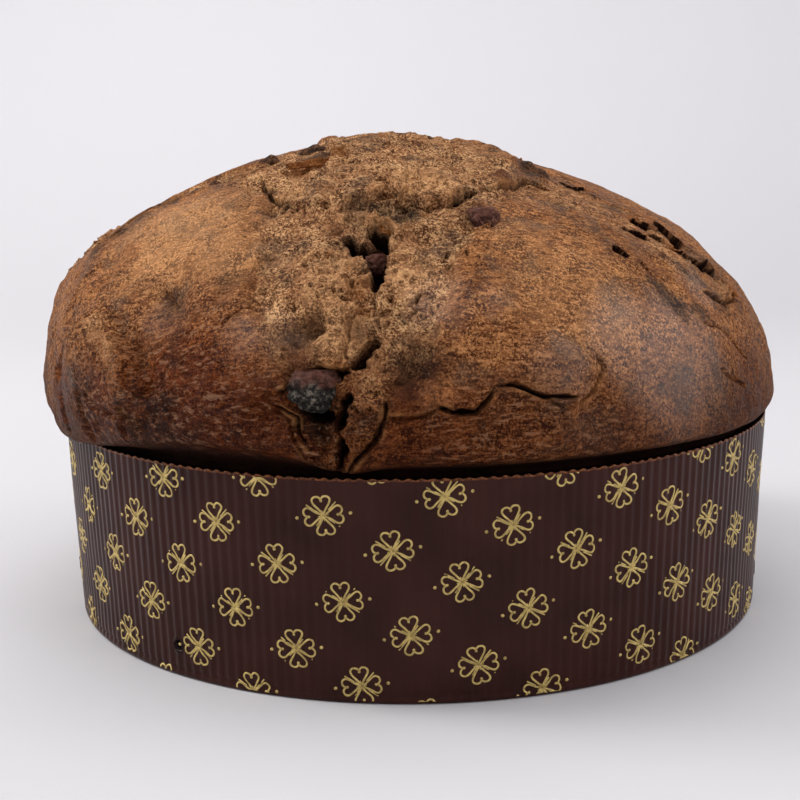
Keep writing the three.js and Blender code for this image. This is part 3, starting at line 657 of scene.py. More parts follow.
    fade = smooth(dome["neckHeight"] + 0.5, dome["widestHeight"] - 2, points[:, 2])
    shaped = points + normals * (push * fade)[:, None] + slide * fade[:, None]
    azimuth = np.degrees(np.arctan2(points[:, 0], -points[:, 1]))
    low = smooth(dome["neckHeight"], 63.5, points[:, 2]) * (1 - smooth(72, 88, points[:, 2]))
    for middle, width, drop in sags:
        share = np.exp(-((azimuth - middle) / width) ** 2) * low
        shaped[:, 2] -= drop * share
        shaped[:, :2] += unit(points[:, :2]) * (max(0, 0.4 * drop) * share)[:, None]
    tucked = c["tuck"] * np.exp(-((points[:, 2] - c["tuckHeight"]) / c["tuckWidth"]) ** 2)
    tucked = tucked * (points[:, 2] > dome["neckHeight"] - 0.2)
    shaped[:, :2] -= unit(points[:, :2]) * tucked[:, None]
    lifted = np.maximum(0, shaped[:, 2] - dome["neckHeight"])
    shaped[:, 0] -= dome["lean"] * lifted
    # the gap mask paints the crust just above the rim near black, as shade in the gap between crust and rim
    masks = {"torn": ripped, "opened": opened, "crest_tint_and_highlight": crestHighlights, "gap": 1 - smooth(61.6, 64.6, points[:, 2])}
    for tone, spots in tones.items():
        masks[tone] = shareOf(points + jag * 1.5, spots)
    return shaped, masks


def makeLoaf():
    outline = loafOutline()
    lines = [placesOf(crease) for crease in creases.values()]
    mesh = bmesh.new()
    bmesh.ops.create_icosphere(mesh, subdivisions=loafMesh["balls"], radius=1)
    for step in range(loafMesh["passes"]):
        directions = unit(vertexArray(mesh))
        for vertex, direction in zip(mesh.verts, directions):
            vertex.co = direction
        points = ballToLoaf(directions, outline)
        wanted = wantedEdge(points, lines)
        mesh.verts.index_update()
        ends = np.array([[edge.verts[0].index, edge.verts[1].index] for edge in mesh.edges])
        length = np.linalg.norm(points[ends[:, 0]] - points[ends[:, 1]], axis=1)
        target = np.minimum(wanted[ends[:, 0]], wanted[ends[:, 1]])
        ratio = length / target
        limit = 1.4
        while len(mesh.faces) + 2 * (ratio > limit).sum() > loafMesh["maxFaces"]:
            limit *= 1.05
        long = [edge for edge, over in zip(mesh.edges, ratio > limit) if over]
        if not long:
            break
        bmesh.ops.subdivide_edges(mesh, edges=long, cuts=1)
        many = [face for face in mesh.faces if len(face.verts) > 3]
        bmesh.ops.triangulate(mesh, faces=many, quad_method="BEAUTY", ngon_method="BEAUTY")
    points = ballToLoaf(unit(vertexArray(mesh)), outline)
    shaped, masks = roughen(points, lines)
    for vertex, place in zip(mesh.verts, shaped * mm):
        vertex.co = place
    bmesh.ops.recalc_face_normals(mesh, faces=mesh.faces)
    loaf = finishMesh("crust_loaf", mesh, crustMaterial())
    storeMasks(loaf, masks)
    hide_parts("loaf")
    print("loaf shaped with", len(loaf.data.polygons), "faces")
    return loaf


def meshObject(name, mesh, material):
    data = bpy.data.meshes.new(name)
    for face in mesh.faces:
        face.smooth = True
    mesh.to_mesh(data)
    mesh.free()
    piece = bpy.data.objects.new(name, data)
    bpy.context.scene.collection.objects.link(piece)
    data.materials.append(material)
    return piece


def finishMesh(name, mesh, material):
    piece = meshObject(name, mesh, material)
    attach(piece, "root")
    return piece


def storeMasks(piece, masks):
    for name, values in masks.items():
        layer = piece.data.attributes.new(name, "FLOAT", "POINT")
        layer.data.foreach_set("value", np.array(values, dtype=np.float32))


# material helpers

def startMaterial(name):
    material = bpy.data.materials.new(name)
    material.use_nodes = True
    tree = material.node_tree
    return material, tree, tree.nodes["Principled BSDF"]


def addNode(tree, kind, inputs=None, **settings):
    made = tree.nodes.new(kind)
    for key, value in settings.items():
        setattr(made, key, value)
    for key, value in (inputs or {}).items():
        if isinstance(value, bpy.types.NodeSocket):
            tree.links.new(value, made.inputs[key])
        else:
            made.inputs[key].default_value = value
    return made


def noiseFac(tree, place, scale, detail=2.0, rough=0.5, warp=0.0):
    sockets = {"Vector": place, "Scale": scale, "Detail": detail, "Roughness": rough, "Distortion": warp}
    return addNode(tree, "ShaderNodeTexNoise", sockets).outputs["Fac"]


def rampOf(tree, value, stops):
    ramp = addNode(tree, "ShaderNodeValToRGB", {"Fac": value})
    elements = ramp.color_ramp.elements
    for place, colour in stops[2:]:
        elements.new(place)
    for element, (place, colour) in zip(elements, sorted(stops)):
        element.position = place
        element.color = (*colour, 1) if len(colour) == 3 else colour
    return ramp.outputs["Color"]


def mixOf(tree, share, a, b, kind="MIX"):
    mix = addNode(tree, "ShaderNodeMix", data_type="RGBA", blend_type=kind)
    for key, value in (("Factor", share), ("A", a), ("B", b)):
        socket = next(s for s in mix.inputs if s.name == key and s.enabled)
        if isinstance(value, bpy.types.NodeSocket):
            tree.links.new(value, socket)
        else:
            socket.default_value = value if key == "Factor" or len(value) == 4 else (*value, 1)
    return next(s for s in mix.outputs if s.enabled)


def mathOf(tree, operation, *values):
    return addNode(tree, "ShaderNodeMath", dict(enumerate(values)), operation=operation).outputs[0]


def timesOf(tree, a, b):
    return mathOf(tree, "MULTIPLY", a, b)


# adds up the parts that have a weight
def sumOf(tree, weights, parts):
    total = 0.0
    for name, weight in weights.items():
        total = mathOf(tree, "MULTIPLY_ADD", parts[name], weight, total)
    return total


def rangeOf(tree, value, low, high, toLow=0.0, toHigh=1.0):
    sockets = {"Value": value, "From Min": low, "From Max": high, "To Min": toLow, "To Max": toHigh}
    return addNode(tree, "ShaderNodeMapRange", sockets).outputs[0]


def stretchOf(tree, place, **settings):
    return addNode(tree, "ShaderNodeMapping", {"Vector": place, **settings}).outputs["Vector"]


def maskOf(tree, name):
    return addNode(tree, "ShaderNodeAttribute", attribute_name=name).outputs["Fac"]


def objectPlace(tree):
    return addNode(tree, "ShaderNodeTexCoord").outputs["Object"]


def bumpFrom(tree, shader, height, distance, strength):
    bump = addNode(tree, "ShaderNodeBump", {"Height": height, "Distance": distance, "Strength": strength})
    tree.links.new(bump.outputs["Normal"], shader.inputs["Normal"])


# values that are the same all over go straight on the shader's sockets
def setPlain(shader, values):
    for socket, value in values.items():
        shader.inputs[socket].default_value = value


# some of these colours paint light and shade: shade in pits, cracks, hollows and the rim gap, sheen, crest
# highlights, and shade on the lower crust
crustColours = {
    "skinDark": (0.066, 0.018, 0.005), "skin": (0.276, 0.098, 0.031), "skinLight": (0.62, 0.275, 0.098),
    "crumbDark": (0.105, 0.040, 0.016), "crumb": (0.43, 0.190, 0.080), "crumbLight": (0.98, 0.58, 0.27),
    "golden": (0.88, 0.46, 0.20), "pit_shade": (0.022, 0.008, 0.0035), "char_and_shade": (0.022, 0.016, 0.013),
    "painted_sheen": (0.105, 0.115, 0.120), "red": (0.090, 0.026, 0.015), "amber": (0.28, 0.085, 0.014),
    "shade_black": (0.010, 0.003, 0.0015), "smudge": (0.10, 0.058, 0.040), "crest_tint_and_highlight": (0.52, 0.235, 0.080),
    "glint": (0.33, 0.185, 0.105), "darker_and_shaded": (0.53, 0.305, 0.158), "base": (0.22, 0.12, 0.070),
}

# each pattern of the crust as scale, detail, roughness and warp, then how much they count in the
# specks of colour and in the bump, and how strong the tints are
crustFinish = {
    "patterns": {
        "grit": (1500, 4, 0.8), "fleck": (720, 5, 0.72), "mottle": (210, 5, 0.65),
        "pits": (430, 3, 0.55, 0.8), "lively": (125, 3, 0.6, 0.5), "patch": (95, 4, 0.6, 0.3),
        "cloud": (38, 3, 0.55),
    },
    "drawnPatterns": {"drawn": (900, 3, 0.65, 0.4), "wrinkles": (520, 3, 0.6, 0.4)},
    "drawnTurn": (0, 0.9, 0), "drawnScale": (0.22, 1.0, 1.0),
    "specks": {"grit": 0.58, "fleck": 0.2, "mottle": 0.22},
    "skinSpecks": {"specks": 0.72, "drawn": 0.28},
    "bump": {"fleck": 0.5, "grit": 0.55, "mottle": 1.1, "pits": -0.5, "wrinkles": 2.6},
    "bumpDistance": 0.0014, "specular": 0.055,
    "masks": ("torn", "opened", "crest_tint_and_highlight", "gap", "char_and_shade", "painted_sheen", "gold", "red", "amber", "darker_and_shaded", "wrinkled"),
    "amber": 0.7, "red": 0.7, "crest_tint_and_highlight": 0.4, "greasy": 0.16, "tornRoughness": 0.75,
    "lowest": 0.060, "highest": 0.092,     # heights between which the base darkens
}


def crustMaterial():
    material, tree, shader = startMaterial("baked_chocolate_crust")
    c, f = crustColours, crustFinish
    place = objectPlace(tree)
    height = addNode(tree, "ShaderNodeSeparateXYZ", {"Vector": place}).outputs["Z"]
    turned = stretchOf(tree, place, Rotation=f["drawnTurn"], Scale=f["drawnScale"])
    parts = {name: noiseFac(tree, place, *values) for name, values in f["patterns"].items()}
    parts |= {name: noiseFac(tree, turned, *values) for name, values in f["drawnPatterns"].items()}
    masks = {name: maskOf(tree, name) for name in f["masks"]}
    cloud = parts["cloud"]

    # specks of dark and pale crust, livelier in some patches, and drawn out where the skin stretched
    lively = rangeOf(tree, parts["lively"], 0.40, 0.60, 0.45, 1.5)
    mixed = mathOf(tree, "SUBTRACT", sumOf(tree, f["specks"], parts), 0.5)
    mixed = parts["specks"] = mathOf(tree, "MULTIPLY_ADD", mixed, lively, 0.5)
    stretched = sumOf(tree, f["skinSpecks"], parts)
    skin = rampOf(tree, stretched, [(0.445, c["skinDark"]), (0.57, c["skinLight"]), (0.5, c["skin"])])
    crumb = rampOf(tree, mixed, [(0.445, c["crumbDark"]), (0.56, c["crumbLight"]), (0.5, c["crumb"])])
    # painted shade: small holes in the torn crumb are coloured near black
    pits = rangeOf(tree, parts["pits"], 0.60, 0.69)
    pits = parts["pits"] = timesOf(tree, pits, rangeOf(tree, masks["torn"], 0, 1, 0.12, 0.85))
    colour = mixOf(tree, masks["torn"], skin, crumb)
    colour = mixOf(tree, pits, colour, c["pit_shade"])
    darker = mixOf(tree, 0.6, colour, c["skinDark"])
    colour = mixOf(tree, rangeOf(tree, cloud, 0.36, 0.66, 0.0, 0.45), colour, darker)
    colour = mixOf(tree, rangeOf(tree, parts["patch"], 0.52, 0.66, 0.0, 0.6), colour, c["smudge"])

    # golden flecks, thicker where the crust is pale; on the lit lobe and ridges this gold is partly a painted
    # highlight
    sparkle = rangeOf(tree, parts["grit"], 0.555, 0.62)
    goldShare = timesOf(tree, sparkle, rangeOf(tree, masks["gold"], 0, 1, 0.4, 0.85))
    colour = mixOf(tree, goldShare, colour, c["golden"])
    pale = timesOf(tree, masks["gold"], rangeOf(tree, mixed, 0.43, 0.58, 0.15, 0.6))
    colour = mixOf(tree, pale, colour, c["golden"])
    # painted sheen: a bluish white added where the crust reflects its bright surroundings
    sheenShare = timesOf(tree, masks["painted_sheen"], rangeOf(tree, cloud, 0.35, 0.6, 0.75, 1.0))
    colour = mixOf(tree, sheenShare, colour, c["painted_sheen"], "ADD")
    for tint in ("amber", "red"):
        colour = mixOf(tree, timesOf(tree, masks[tint], f[tint]), colour, c[tint])
    # burnt crust, and painted shade in hollows and under the lump
    charAndShadeShare = timesOf(tree, masks["char_and_shade"], rangeOf(tree, mixed, 0.42, 0.58, 1.0, 0.66))
    colour = mixOf(tree, charAndShadeShare, colour, c["char_and_shade"])

    # darker in patches and towards the mould: partly the crust's own darker colour, partly painted shade on
    # the lower crust, which faces away from the light
    colour = mixOf(tree, masks["darker_and_shaded"], colour, mixOf(tree, 1.0, colour, c["darker_and_shaded"], "MULTIPLY"))
    low = rangeOf(tree, height, f["lowest"], f["highest"], 1.0, 0.0)
    low = timesOf(tree, low, rangeOf(tree, cloud, 0.3, 0.7, 0.75, 1.0))
    colour = mixOf(tree, low, colour, mixOf(tree, 1.0, colour, c["base"], "MULTIPLY"))
    glint = timesOf(tree, rangeOf(tree, parts["drawn"], 0.54, 0.66, 0.0, 0.7), masks["wrinkled"])
    colour = mixOf(tree, glint, colour, c["glint"])
    # painted highlight on the crests beside the creases
    colour = mixOf(tree, timesOf(tree, masks["crest_tint_and_highlight"], f["crest_tint_and_highlight"]), colour, c["crest_tint_and_highlight"])
    # painted shade: near black in the deep cracks and in the gap above the rim
    for hollow in ("opened", "gap"):
        colour = mixOf(tree, masks[hollow], colour, c["shade_black"])
    tree.links.new(colour, shader.inputs["Base Color"])

    greasy = mathOf(tree, "MAXIMUM", masks["wrinkled"], masks["darker_and_shaded"])
    rough = rangeOf(tree, parts["mottle"], 0.35, 0.65, 0.42, 0.66)
    rough = mathOf(tree, "SUBTRACT", rough, timesOf(tree, greasy, f["greasy"]))
    for dry in (timesOf(tree, masks["torn"], f["tornRoughness"]), masks["opened"], masks["gap"]):
        rough = mathOf(tree, "MAXIMUM", rough, dry)
    tree.links.new(rough, shader.inputs["Roughness"])
    setPlain(shader, {"Specular IOR Level": f["specular"]})

    # grain all over, and oblique wrinkles where the skin slackened
    parts["wrinkles"] = timesOf(tree, parts["wrinkles"], masks["wrinkled"])
    strength = rangeOf(tree, masks["torn"], 0, 1, 0.85, 1.0)
    bumpFrom(tree, shader, sumOf(tree, f["bump"], parts), f["bumpDistance"], strength)
    return material


# scorched chocolate: a charcoal grey, a reddish brown and what lies between
chocolateColours = {
    "charred": {"dark": (0.006, 0.005, 0.0042), "mid": (0.034, 0.028, 0.021), "pale": (0.26, 0.215, 0.165)},
    "reddish": {"dark": (0.045, 0.014, 0.009), "mid": (0.16, 0.056, 0.034), "pale": (0.40, 0.20, 0.14)},
}


def chocolateMaterial(kind):
    material, tree, shader = startMaterial(kind + "_chocolate")
    c = chocolateColours[kind]
    place = objectPlace(tree)
    grain = noiseFac(tree, place, 900, 5, 0.7)
    patches = noiseFac(tree, place, 240, 3, 0.6, 0.6)
    colour = rampOf(tree, grain, [(0.42, c["dark"]), (0.62, c["pale"]), (0.52, c["mid"])])
    colour = mixOf(tree, rangeOf(tree, patches, 0.42, 0.62, 0.0, 0.7), colour, c["dark"])
    crumbly = timesOf(tree, maskOf(tree, "crumbly"), rangeOf(tree, grain, 0.4, 0.6, 0.4, 1.0))
    colour = mixOf(tree, crumbly, colour, chocolateColours["reddish"]["mid"])
    tree.links.new(colour, shader.inputs["Base Color"])
    tree.links.new(rangeOf(tree, patches, 0.3, 0.7, 0.42, 0.75), shader.inputs["Roughness"])
    setPlain(shader, {"Specular IOR Level": 0.2})
    bumpFrom(tree, shader, grain, 0.0012, 1.0)
    return material


# each lump of chocolate: its colour, with its place and size from its own CAD node
lumps = {
    "kinds": ["charred", "reddish", "reddish", "charred", "reddish"],
    "detail": 5, "bulk": 1.0, "facet": 0.34, "crag": 0.12, "grit": 0.05, "limit": 1.02,
}


def makeLumps():
    materials = {kind: chocolateMaterial(kind) for kind in chocolateColours}
    for number, kind in enumerate(lumps["kinds"], 1):
        node = f"chocolate_piece_{number}"
        low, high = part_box(node)
        centre, half = (low + high) / 2, (high - low) / 2
        mesh = bmesh.new()
        bmesh.ops.create_icosphere(mesh, subdivisions=lumps["detail"], radius=1)
        seed = Vector((number * 3.7, number * 1.9, 0))
        crumbly = []
        for vertex in mesh.verts:
            way = vertex.co.normalized()
            cells = noise.voronoi(way * 1.7 + seed)[0]
            upper = smooth(0.1, 0.6, way.z + 0.3 * noise.noise(way * 3 + seed))
            size = lumps["bulk"] + lumps["facet"] * (cells[1] - cells[0] - 0.25)
            size += lumps["crag"] * noise.noise(way * 3.5 + seed)
            size += lumps["grit"] * (1 + 1.5 * upper) * noise.noise(way * 14 + seed)
            spread = np.clip(np.array(way) * 1.12 * size, -lumps["limit"], lumps["limit"])
            vertex.co = centre + Vector(spread * np.array(half))
            crumbly.append(upper)
        lump = finishMesh(f"chocolate_lump_{number}", mesh, materials[kind])
        storeMasks(lump, {"crumbly": crumbly})
        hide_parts(node)
    print("chocolate lumps made")


# thin flakes of crust that stand up along the tears: the pixel they show at and how far behind it
# they sit, length, width and height in millimetres, how far they turn, and how dark or amber they
# are; a ridge lies across the photograph with both its edges in the crust
flakes = [
    {"photo": [(267, 161.6)], "back": 7, "size": (8.0, 5.5), "rise": 4.0, "turn": 4, "char_and_shade": 0.85,
     "amber": 0.1, "ridge": True},
    {"photo": [(314, 147.4)], "back": 6, "size": (14.0, 6.5), "rise": 3.8, "turn": 4, "char_and_shade": 0.85,
     "amber": 0.0, "ridge": True},
    {"photo": [(320, 162)], "size": (19.0, 2.2), "rise": 1.0, "turn": 11, "char_and_shade": 0.1, "amber": 0.6},
    {"photo": [(388, 146)], "size": (3.0, 2.4), "rise": 1.2, "turn": 30, "char_and_shade": 0.4, "amber": 0.3},
    {"photo": [(419, 145)], "size": (5.0, 2.2), "rise": 1.5, "turn": 10, "char_and_shade": 0.4, "amber": 0.2},
    {"photo": [(446, 147)], "size": (8.0, 3.4), "rise": 1.1, "turn": -16, "char_and_shade": 0.3, "amber": 0.3},
    {"photo": [(527, 169)], "back": 2, "size": (13.0, 7.0), "rise": 3.6, "turn": -4, "char_and_shade": 0.9,
     "amber": 0.1, "ridge": True},
    {"photo": [(240, 173)], "back": 4, "size": (16.0, 4.2), "rise": 2.4, "turn": 0, "char_and_shade": 0.5,
     "amber": 0.2, "ridge": True},
    {"photo": [(204, 191)], "back": 4, "size": (13.0, 4.0), "rise": 2.3, "turn": 0, "char_and_shade": 0.6,
     "amber": 0.1, "ridge": True},
    {"photo": [(522, 166)], "size": (6.0, 3.0), "rise": 1.6, "turn": -30, "char_and_shade": 0.2, "amber": 0.8},
    {"photo": [(546, 178)], "size": (5.0, 2.6), "rise": 1.3, "turn": -8, "char_and_shade": 0.7, "amber": 0.0},
    {"photo": [(640, 217)], "size": (6.0, 2.2), "rise": 1.0, "turn": -14, "char_and_shade": 0.2, "amber": 0.5},
    {"photo": [(392, 229)], "size": (7.0, 2.0), "rise": 0.9, "turn": -14, "char_and_shade": 0.0, "amber": 0.4},
    {"at": [(160, 128)], "size": (9.0, 4.0), "rise": 1.8, "turn": 20, "char_and_shade": 0.5, "amber": 0.2},
    {"at": [(178, 118)], "size": (7.0, 3.4), "rise": 1.6, "turn": -25, "char_and_shade": 0.3, "amber": 0.5},
    {"at": [(-88, 118)], "size": (8.0, 3.4), "rise": 1.6, "turn": 12, "char_and_shade": 0.6, "amber": 0.1},
]


# a flake is a small plate, ragged round its edge, that curls up on one side or in the middle
def makeFlakes(loaf):
    mesh = bmesh.new()
    tones = {"char_and_shade": [], "amber": []}
    for number, flake in enumerate(flakes):
        seed = Vector((number * 5.3, 0, number * 2.7))
        spot = placesOf(flake)
        out = outward(spot)[0]
        spot[0, 1] += flake.get("back", 0)
        spot[0, 0] -= dome["lean"] * (spot[0, 2] - dome["neckHeight"])
        place, normal = loaf.closest_point_on_mesh(Vector(spot[0] * mm))[1:3]
        out = (Vector(out) * 2 + normal).normalized()
        along = (Vector((1, 0, 0)) if flake.get("ridge") else Vector((0, 0, 1)).cross(out)).normalized()
        along = (along - out * along.dot(out)).normalized()
        along.rotate(Matrix.Rotation(math.radians(flake["turn"]), 3, out))
        across = out.cross(along)
        before = len(mesh.verts)
        bmesh.ops.create_grid(mesh, x_segments=26, y_segments=10, size=1)
        mesh.verts.ensure_lookup_table()
        for vertex in mesh.verts[before:]:
            u, v = vertex.co.x, vertex.co.y
            ragged = 1 + 0.3 * noise.noise(Vector((u * 2.2, 0, 0)) + seed)
            width = math.sqrt(max(0.06, 1 - u * u * 0.9)) * ragged
            curl = 1 - v * v if flake.get("ridge") else max(0, 0.5 + 0.5 * v) ** 1.6
            curl *= 0.75 + 0.5 * noise.noise(Vector((u * 1.7, 3, 0)) + seed)
            height = flake["rise"] * curl + 0.25 * noise.noise(Vector((u * 5, v * 3, 5)) + seed) - 0.25
            height -= (0.6 + 0.9 * flake["rise"] * u ** 4) if flake.get("ridge") else 0
            reach = u * (1 + 0.12 * noise.noise(Vector((0, v * 2, 9)) + seed))
            stretch = along * (reach * flake["size"][0] / 2) + across * (v * width * flake["size"][1] / 2)
            vertex.co = place + (stretch + out * height) * mm
        for tone in tones:
            tones[tone] += [flake[tone]] * (len(mesh.verts) - before)
    toneLayers = {tone: mesh.verts.layers.float.new(tone) for tone in tones}
    for tone, layer in toneLayers.items():
        for vertex, value in zip(mesh.verts, tones[tone]):
            vertex[layer] = value
    bmesh.ops.solidify(mesh, geom=mesh.faces[:], thickness=0.45 * mm)
    bmesh.ops.recalc_face_normals(mesh, faces=mesh.faces)
    piece = finishMesh("crust_flakes", mesh, bpy.data.materials["baked_chocolate_crust"])
    print("flakes made with", len(piece.data.polygons), "faces")


# the paper mould

def fluteRadius(angle, height):
    share = np.clip(height / mould["height"], 0, 1)
    radius = mould["baseRadius"] + (mould["rimRadius"] - mould["baseRadius"]) * share
    wave = 0.5 - 0.5 * np.cos(angle * mould["flutes"])
    soften = smooth(0.4, 2.2, height)
    return radius - mould["fluteDepth"] * wave * soften


# the wall's slow dents, its pressed line near the floor, and the glued overlap at the back
wallShape = {
    "dent": 0.32, "dentSize": 26, "fold": 0.25, "foldHeight": 2.4, "foldWidth": 0.5,
    "overlapStart": math.radians(166), "overlapEnd": math.radians(179), "overlap": 0.3,
    "bottomRound": 1.0,
    "levels": [0.15, 0.5, 1.0, 1.8, 2.4, 3.0, 4.2, 7, 11, 16, 22, 28, 34, 40, 46, 51, 55, 57.5, 59, 59.6, 60],
}


def wallRadius(angle, height):
    radius = fluteRadius(angle, height)
    around = mould["rimRadius"] * np.stack([np.cos(angle), np.sin(angle)], 1)
    dents = np.abs(cloudy(np.column_stack([around, height]), wallShape["dentSize"], 3.3))
    radius = radius - wallShape["dent"] * dents * smooth(2, 12, height)
    crease = np.exp(-((height - wallShape["foldHeight"]) / wallShape["foldWidth"]) ** 2)
    radius = radius - wallShape["fold"] * crease
    turned = np.mod(angle, 2 * math.pi)
    lap = smooth(wallShape["overlapStart"], wallShape["overlapStart"] + 0.004, turned)
    lap = lap * (1 - smooth(wallShape["overlapEnd"], wallShape["overlapEnd"] + 0.004, turned))
    lowest = 1 - np.sqrt(np.clip(1 - (1 - np.clip(height / wallShape["bottomRound"], 0, 1)) ** 2, 0, 1))
    return radius + wallShape["overlap"] * lap - wallShape["bottomRound"] * lowest


# azimuth 0 is -Y, so an azimuth becomes a point like this
def aroundMould(angle, radius, height):
    return np.stack([radius * np.sin(angle), -radius * np.cos(angle), height], 1)


def makeMould():
    count = mould["flutes"] * mould["stepsPerFlute"]
    mesh = bmesh.new()
    bmesh.ops.create_circle(mesh, cap_ends=False, segments=count, radius=1)
    side = mesh.verts.layers.float.new("inside")
    ring = list(mesh.edges)
    floorRing = list(ring)
    inner, top = mould["wall"], mould["height"]
    rings = [(level, 0.0) for level in wallShape["levels"]]
    rings += [(top, 0.25), (top, 0.3), (top, inner), (52, inner), (30, inner), (mould["floor"], inner)]
    for level, depth in rings:
        grown = bmesh.ops.extrude_edge_only(mesh, edges=ring)["geom"]
        ring = [item for item in grown if isinstance(item, bmesh.types.BMEdge)]
        for item in grown:
            if isinstance(item, bmesh.types.BMVert):
                item.co.z = level
                item[side] = depth
    bmesh.ops.edgeloop_fill(mesh, edges=ring)
    bmesh.ops.edgeloop_fill(mesh, edges=floorRing)

    # shorter steps round each skewer hole, which is then pushed in
    spots = []
    for azimuth, level in mould["holes"]:
        angle = math.radians(azimuth)
        spots.append((angle, level))
        near = []
        for edge in mesh.edges:
            a, b = edge.verts
            if a[side] or b[side] or abs(a.co.z - b.co.z) < 0.5:
                continue
            turn = math.atan2(a.co.x, -a.co.y) - angle
            turn = math.atan2(math.sin(turn), math.cos(turn))
            beside = abs(turn) * mould["rimRadius"] < 3.2
            if beside and min(a.co.z, b.co.z) < level + 3 and max(a.co.z, b.co.z) > level - 3:
                near.append(edge)
        bmesh.ops.subdivide_edges(mesh, edges=near, cuts=11, use_grid_fill=True)

    flat = vertexArray(mesh)
    angle, height = np.arctan2(flat[:, 0], -flat[:, 1]), flat[:, 2]
    inset = np.array([vertex[side] for vertex in mesh.verts])
    radius = wallRadius(angle, height)
    plain = mould["baseRadius"] + (mould["rimRadius"] - mould["baseRadius"]) * height / mould["height"]
    radius = np.where(inset > 0, plain - inset, radius)
    none = np.zeros(len(flat))
    uneven = cloudy(np.stack([angle * 60, none, none], 1), 1.0)
    scallop = 0.22 * np.cos(angle * mould["flutes"]) + 0.18 * uneven
    height = height + np.where((height > 59.5) & (inset < 0.5), scallop - 0.3, 0)
    # painted shade: each skewer hole is a dent coloured near black, with its rim half as dark
    hole_shade = np.zeros(len(flat))
    for spot, level in spots:
        turn = np.arctan2(np.sin(angle - spot), np.cos(angle - spot)) * 109
        away = np.hypot(turn, height - level)
        uneven = cloudy(np.stack([turn, height, none + spot], 1), 0.9)
        ragged = mould["holeRadius"] * (1 + 0.35 * uneven)
        inside = 1 - smooth(-0.2, 0.35, away - ragged)
        rim = np.exp(-((away - ragged - 0.5) / 0.45) ** 2)
        radius = np.where(inset > 0, radius, radius - 1.25 * inside + 0.3 * rim)
        hole_shade = np.maximum(hole_shade, np.where(inset > 0, 0, np.clip(inside + 0.5 * rim, 0, 1)))
    for vertex, place in zip(mesh.verts, aroundMould(angle, radius, height) * mm):
        vertex.co = place
    bmesh.ops.recalc_face_normals(mesh, faces=mesh.faces)
    # the inside faces take the near-black painted-shade material
    for face in mesh.faces:
        face.material_index = int(all(vertex[side] > 0.2 for vertex in face.verts))
    edgeShare = smooth(59.2, 59.6, flat[:, 2]) * (inset < 0.2)
    body = finishMesh("paper_mould_body", mesh, paperMaterial())
    body.data.materials.append(shadedInsideMaterial())
    storeMasks(body, {"rawEdge": edgeShare, "hole_shade": hole_shade})
    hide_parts("paper_mould")
    print("mould made with", len(body.data.polygons), "faces")


paperColours = {
    "brown": (0.0250, 0.0068, 0.0046), "warm": (0.040, 0.0115, 0.0082), "raw": (0.26, 0.085, 0.028),
    "rawDark": (0.04, 0.014, 0.007), "gold": (0.66, 0.49, 0.16), "goldDark": (0.40, 0.28, 0.085),
    "hole_shade": (0.004, 0.002, 0.0015), "inside_shade": (0.008, 0.0035, 0.0025),
}


def paperMaterial():
    material, tree, shader = startMaterial("brown_corrugated_paper")
    c = paperColours
    place = objectPlace(tree)
    soft = noiseFac(tree, place, 60, 3, 0.5)
    streaks = noiseFac(tree, stretchOf(tree, place, Scale=(1.0, 1.0, 0.06)), 900, 3, 0.6)
    fibre = noiseFac(tree, place, 2200, 2, 0.6)
    colour = mixOf(tree, rangeOf(tree, soft, 0.35, 0.65), c["brown"], c["warm"])
    colour = mixOf(tree, rangeOf(tree, streaks, 0.5, 0.75, 0.0, 0.35), colour, c["warm"])
    raw = mixOf(tree, rangeOf(tree, fibre, 0.4, 0.62), c["rawDark"], c["raw"])
    colour = mixOf(tree, maskOf(tree, "rawEdge"), colour, raw)
    # painted shade in the skewer holes
    colour = mixOf(tree, maskOf(tree, "hole_shade"), colour, c["hole_shade"])
    tree.links.new(colour, shader.inputs["Base Color"])
    tree.links.new(rangeOf(tree, streaks, 0.3, 0.7, 0.27, 0.40), shader.inputs["Roughness"])
    setPlain(shader, {"Specular IOR Level": 0.12, "Sheen Weight": 0.22, "Sheen Roughness": 0.22})
    bumpFrom(tree, shader, streaks, 0.0003, 0.35)
    return material


# painted shade: the inside of the paper, seen only through the gap under the crust, is near black with no
# shine
def shadedInsideMaterial():
    material, _, shader = startMaterial("paper_inside_painted_shade")
    colour = (*paperColours["inside_shade"], 1)
    setPlain(shader, {"Base Color": colour, "Roughness": 1.0, "Specular IOR Level": 0.0})
    return material


def goldMaterial():
    material, tree, shader = startMaterial("gold_ink")
    c = paperColours
    place = objectPlace(tree)
    worn = noiseFac(tree, place, 700, 3, 0.6)
    colour = mixOf(tree, rangeOf(tree, worn, 0.38, 0.62), c["goldDark"], c["gold"])
    tree.links.new(colour, shader.inputs["Base Color"])
    setPlain(shader, {"Metallic": 0.25})
    tree.links.new(rangeOf(tree, worn, 0.3, 0.7, 0.36, 0.5), shader.inputs["Roughness"])
    return material


# the printed clover: four heart leaves, a thin stamen in each gap and a dot at each side
clover = {
    "leaf": [(0.35, 0.05), (1.97, 1.15), (3.25, 2.08), (4.2, 2.3), (4.9, 1.72), (4.95, 0.8), (4.4, 0.12)],
    "bendSteps": 3, "lineWidth": 0.52, "inkHeight": 0.07, "inkSink": 0.05,
    "spur": [(4.4, 0.0), (3.85, 0.0)], "spurDot": 0.4,
    "stamens": [(41, 5.0), (142, 5.1), (-132, 3.3), (-40, 5.0)], "stamenWidth": 0.36,
    "rays": 4, "rayLength": 1.4, "rayWidth": 0.24,
    "dotPlace": 7.0, "dotRadius": 0.46, "tilt": 9.5,
    "origin": (-2.98, 18.79), "stepDown": (17.26, -8.55), "stepUp": (13.03, 13.92), "rise": 12.3,
    "wrapRadius": 109.0,
}


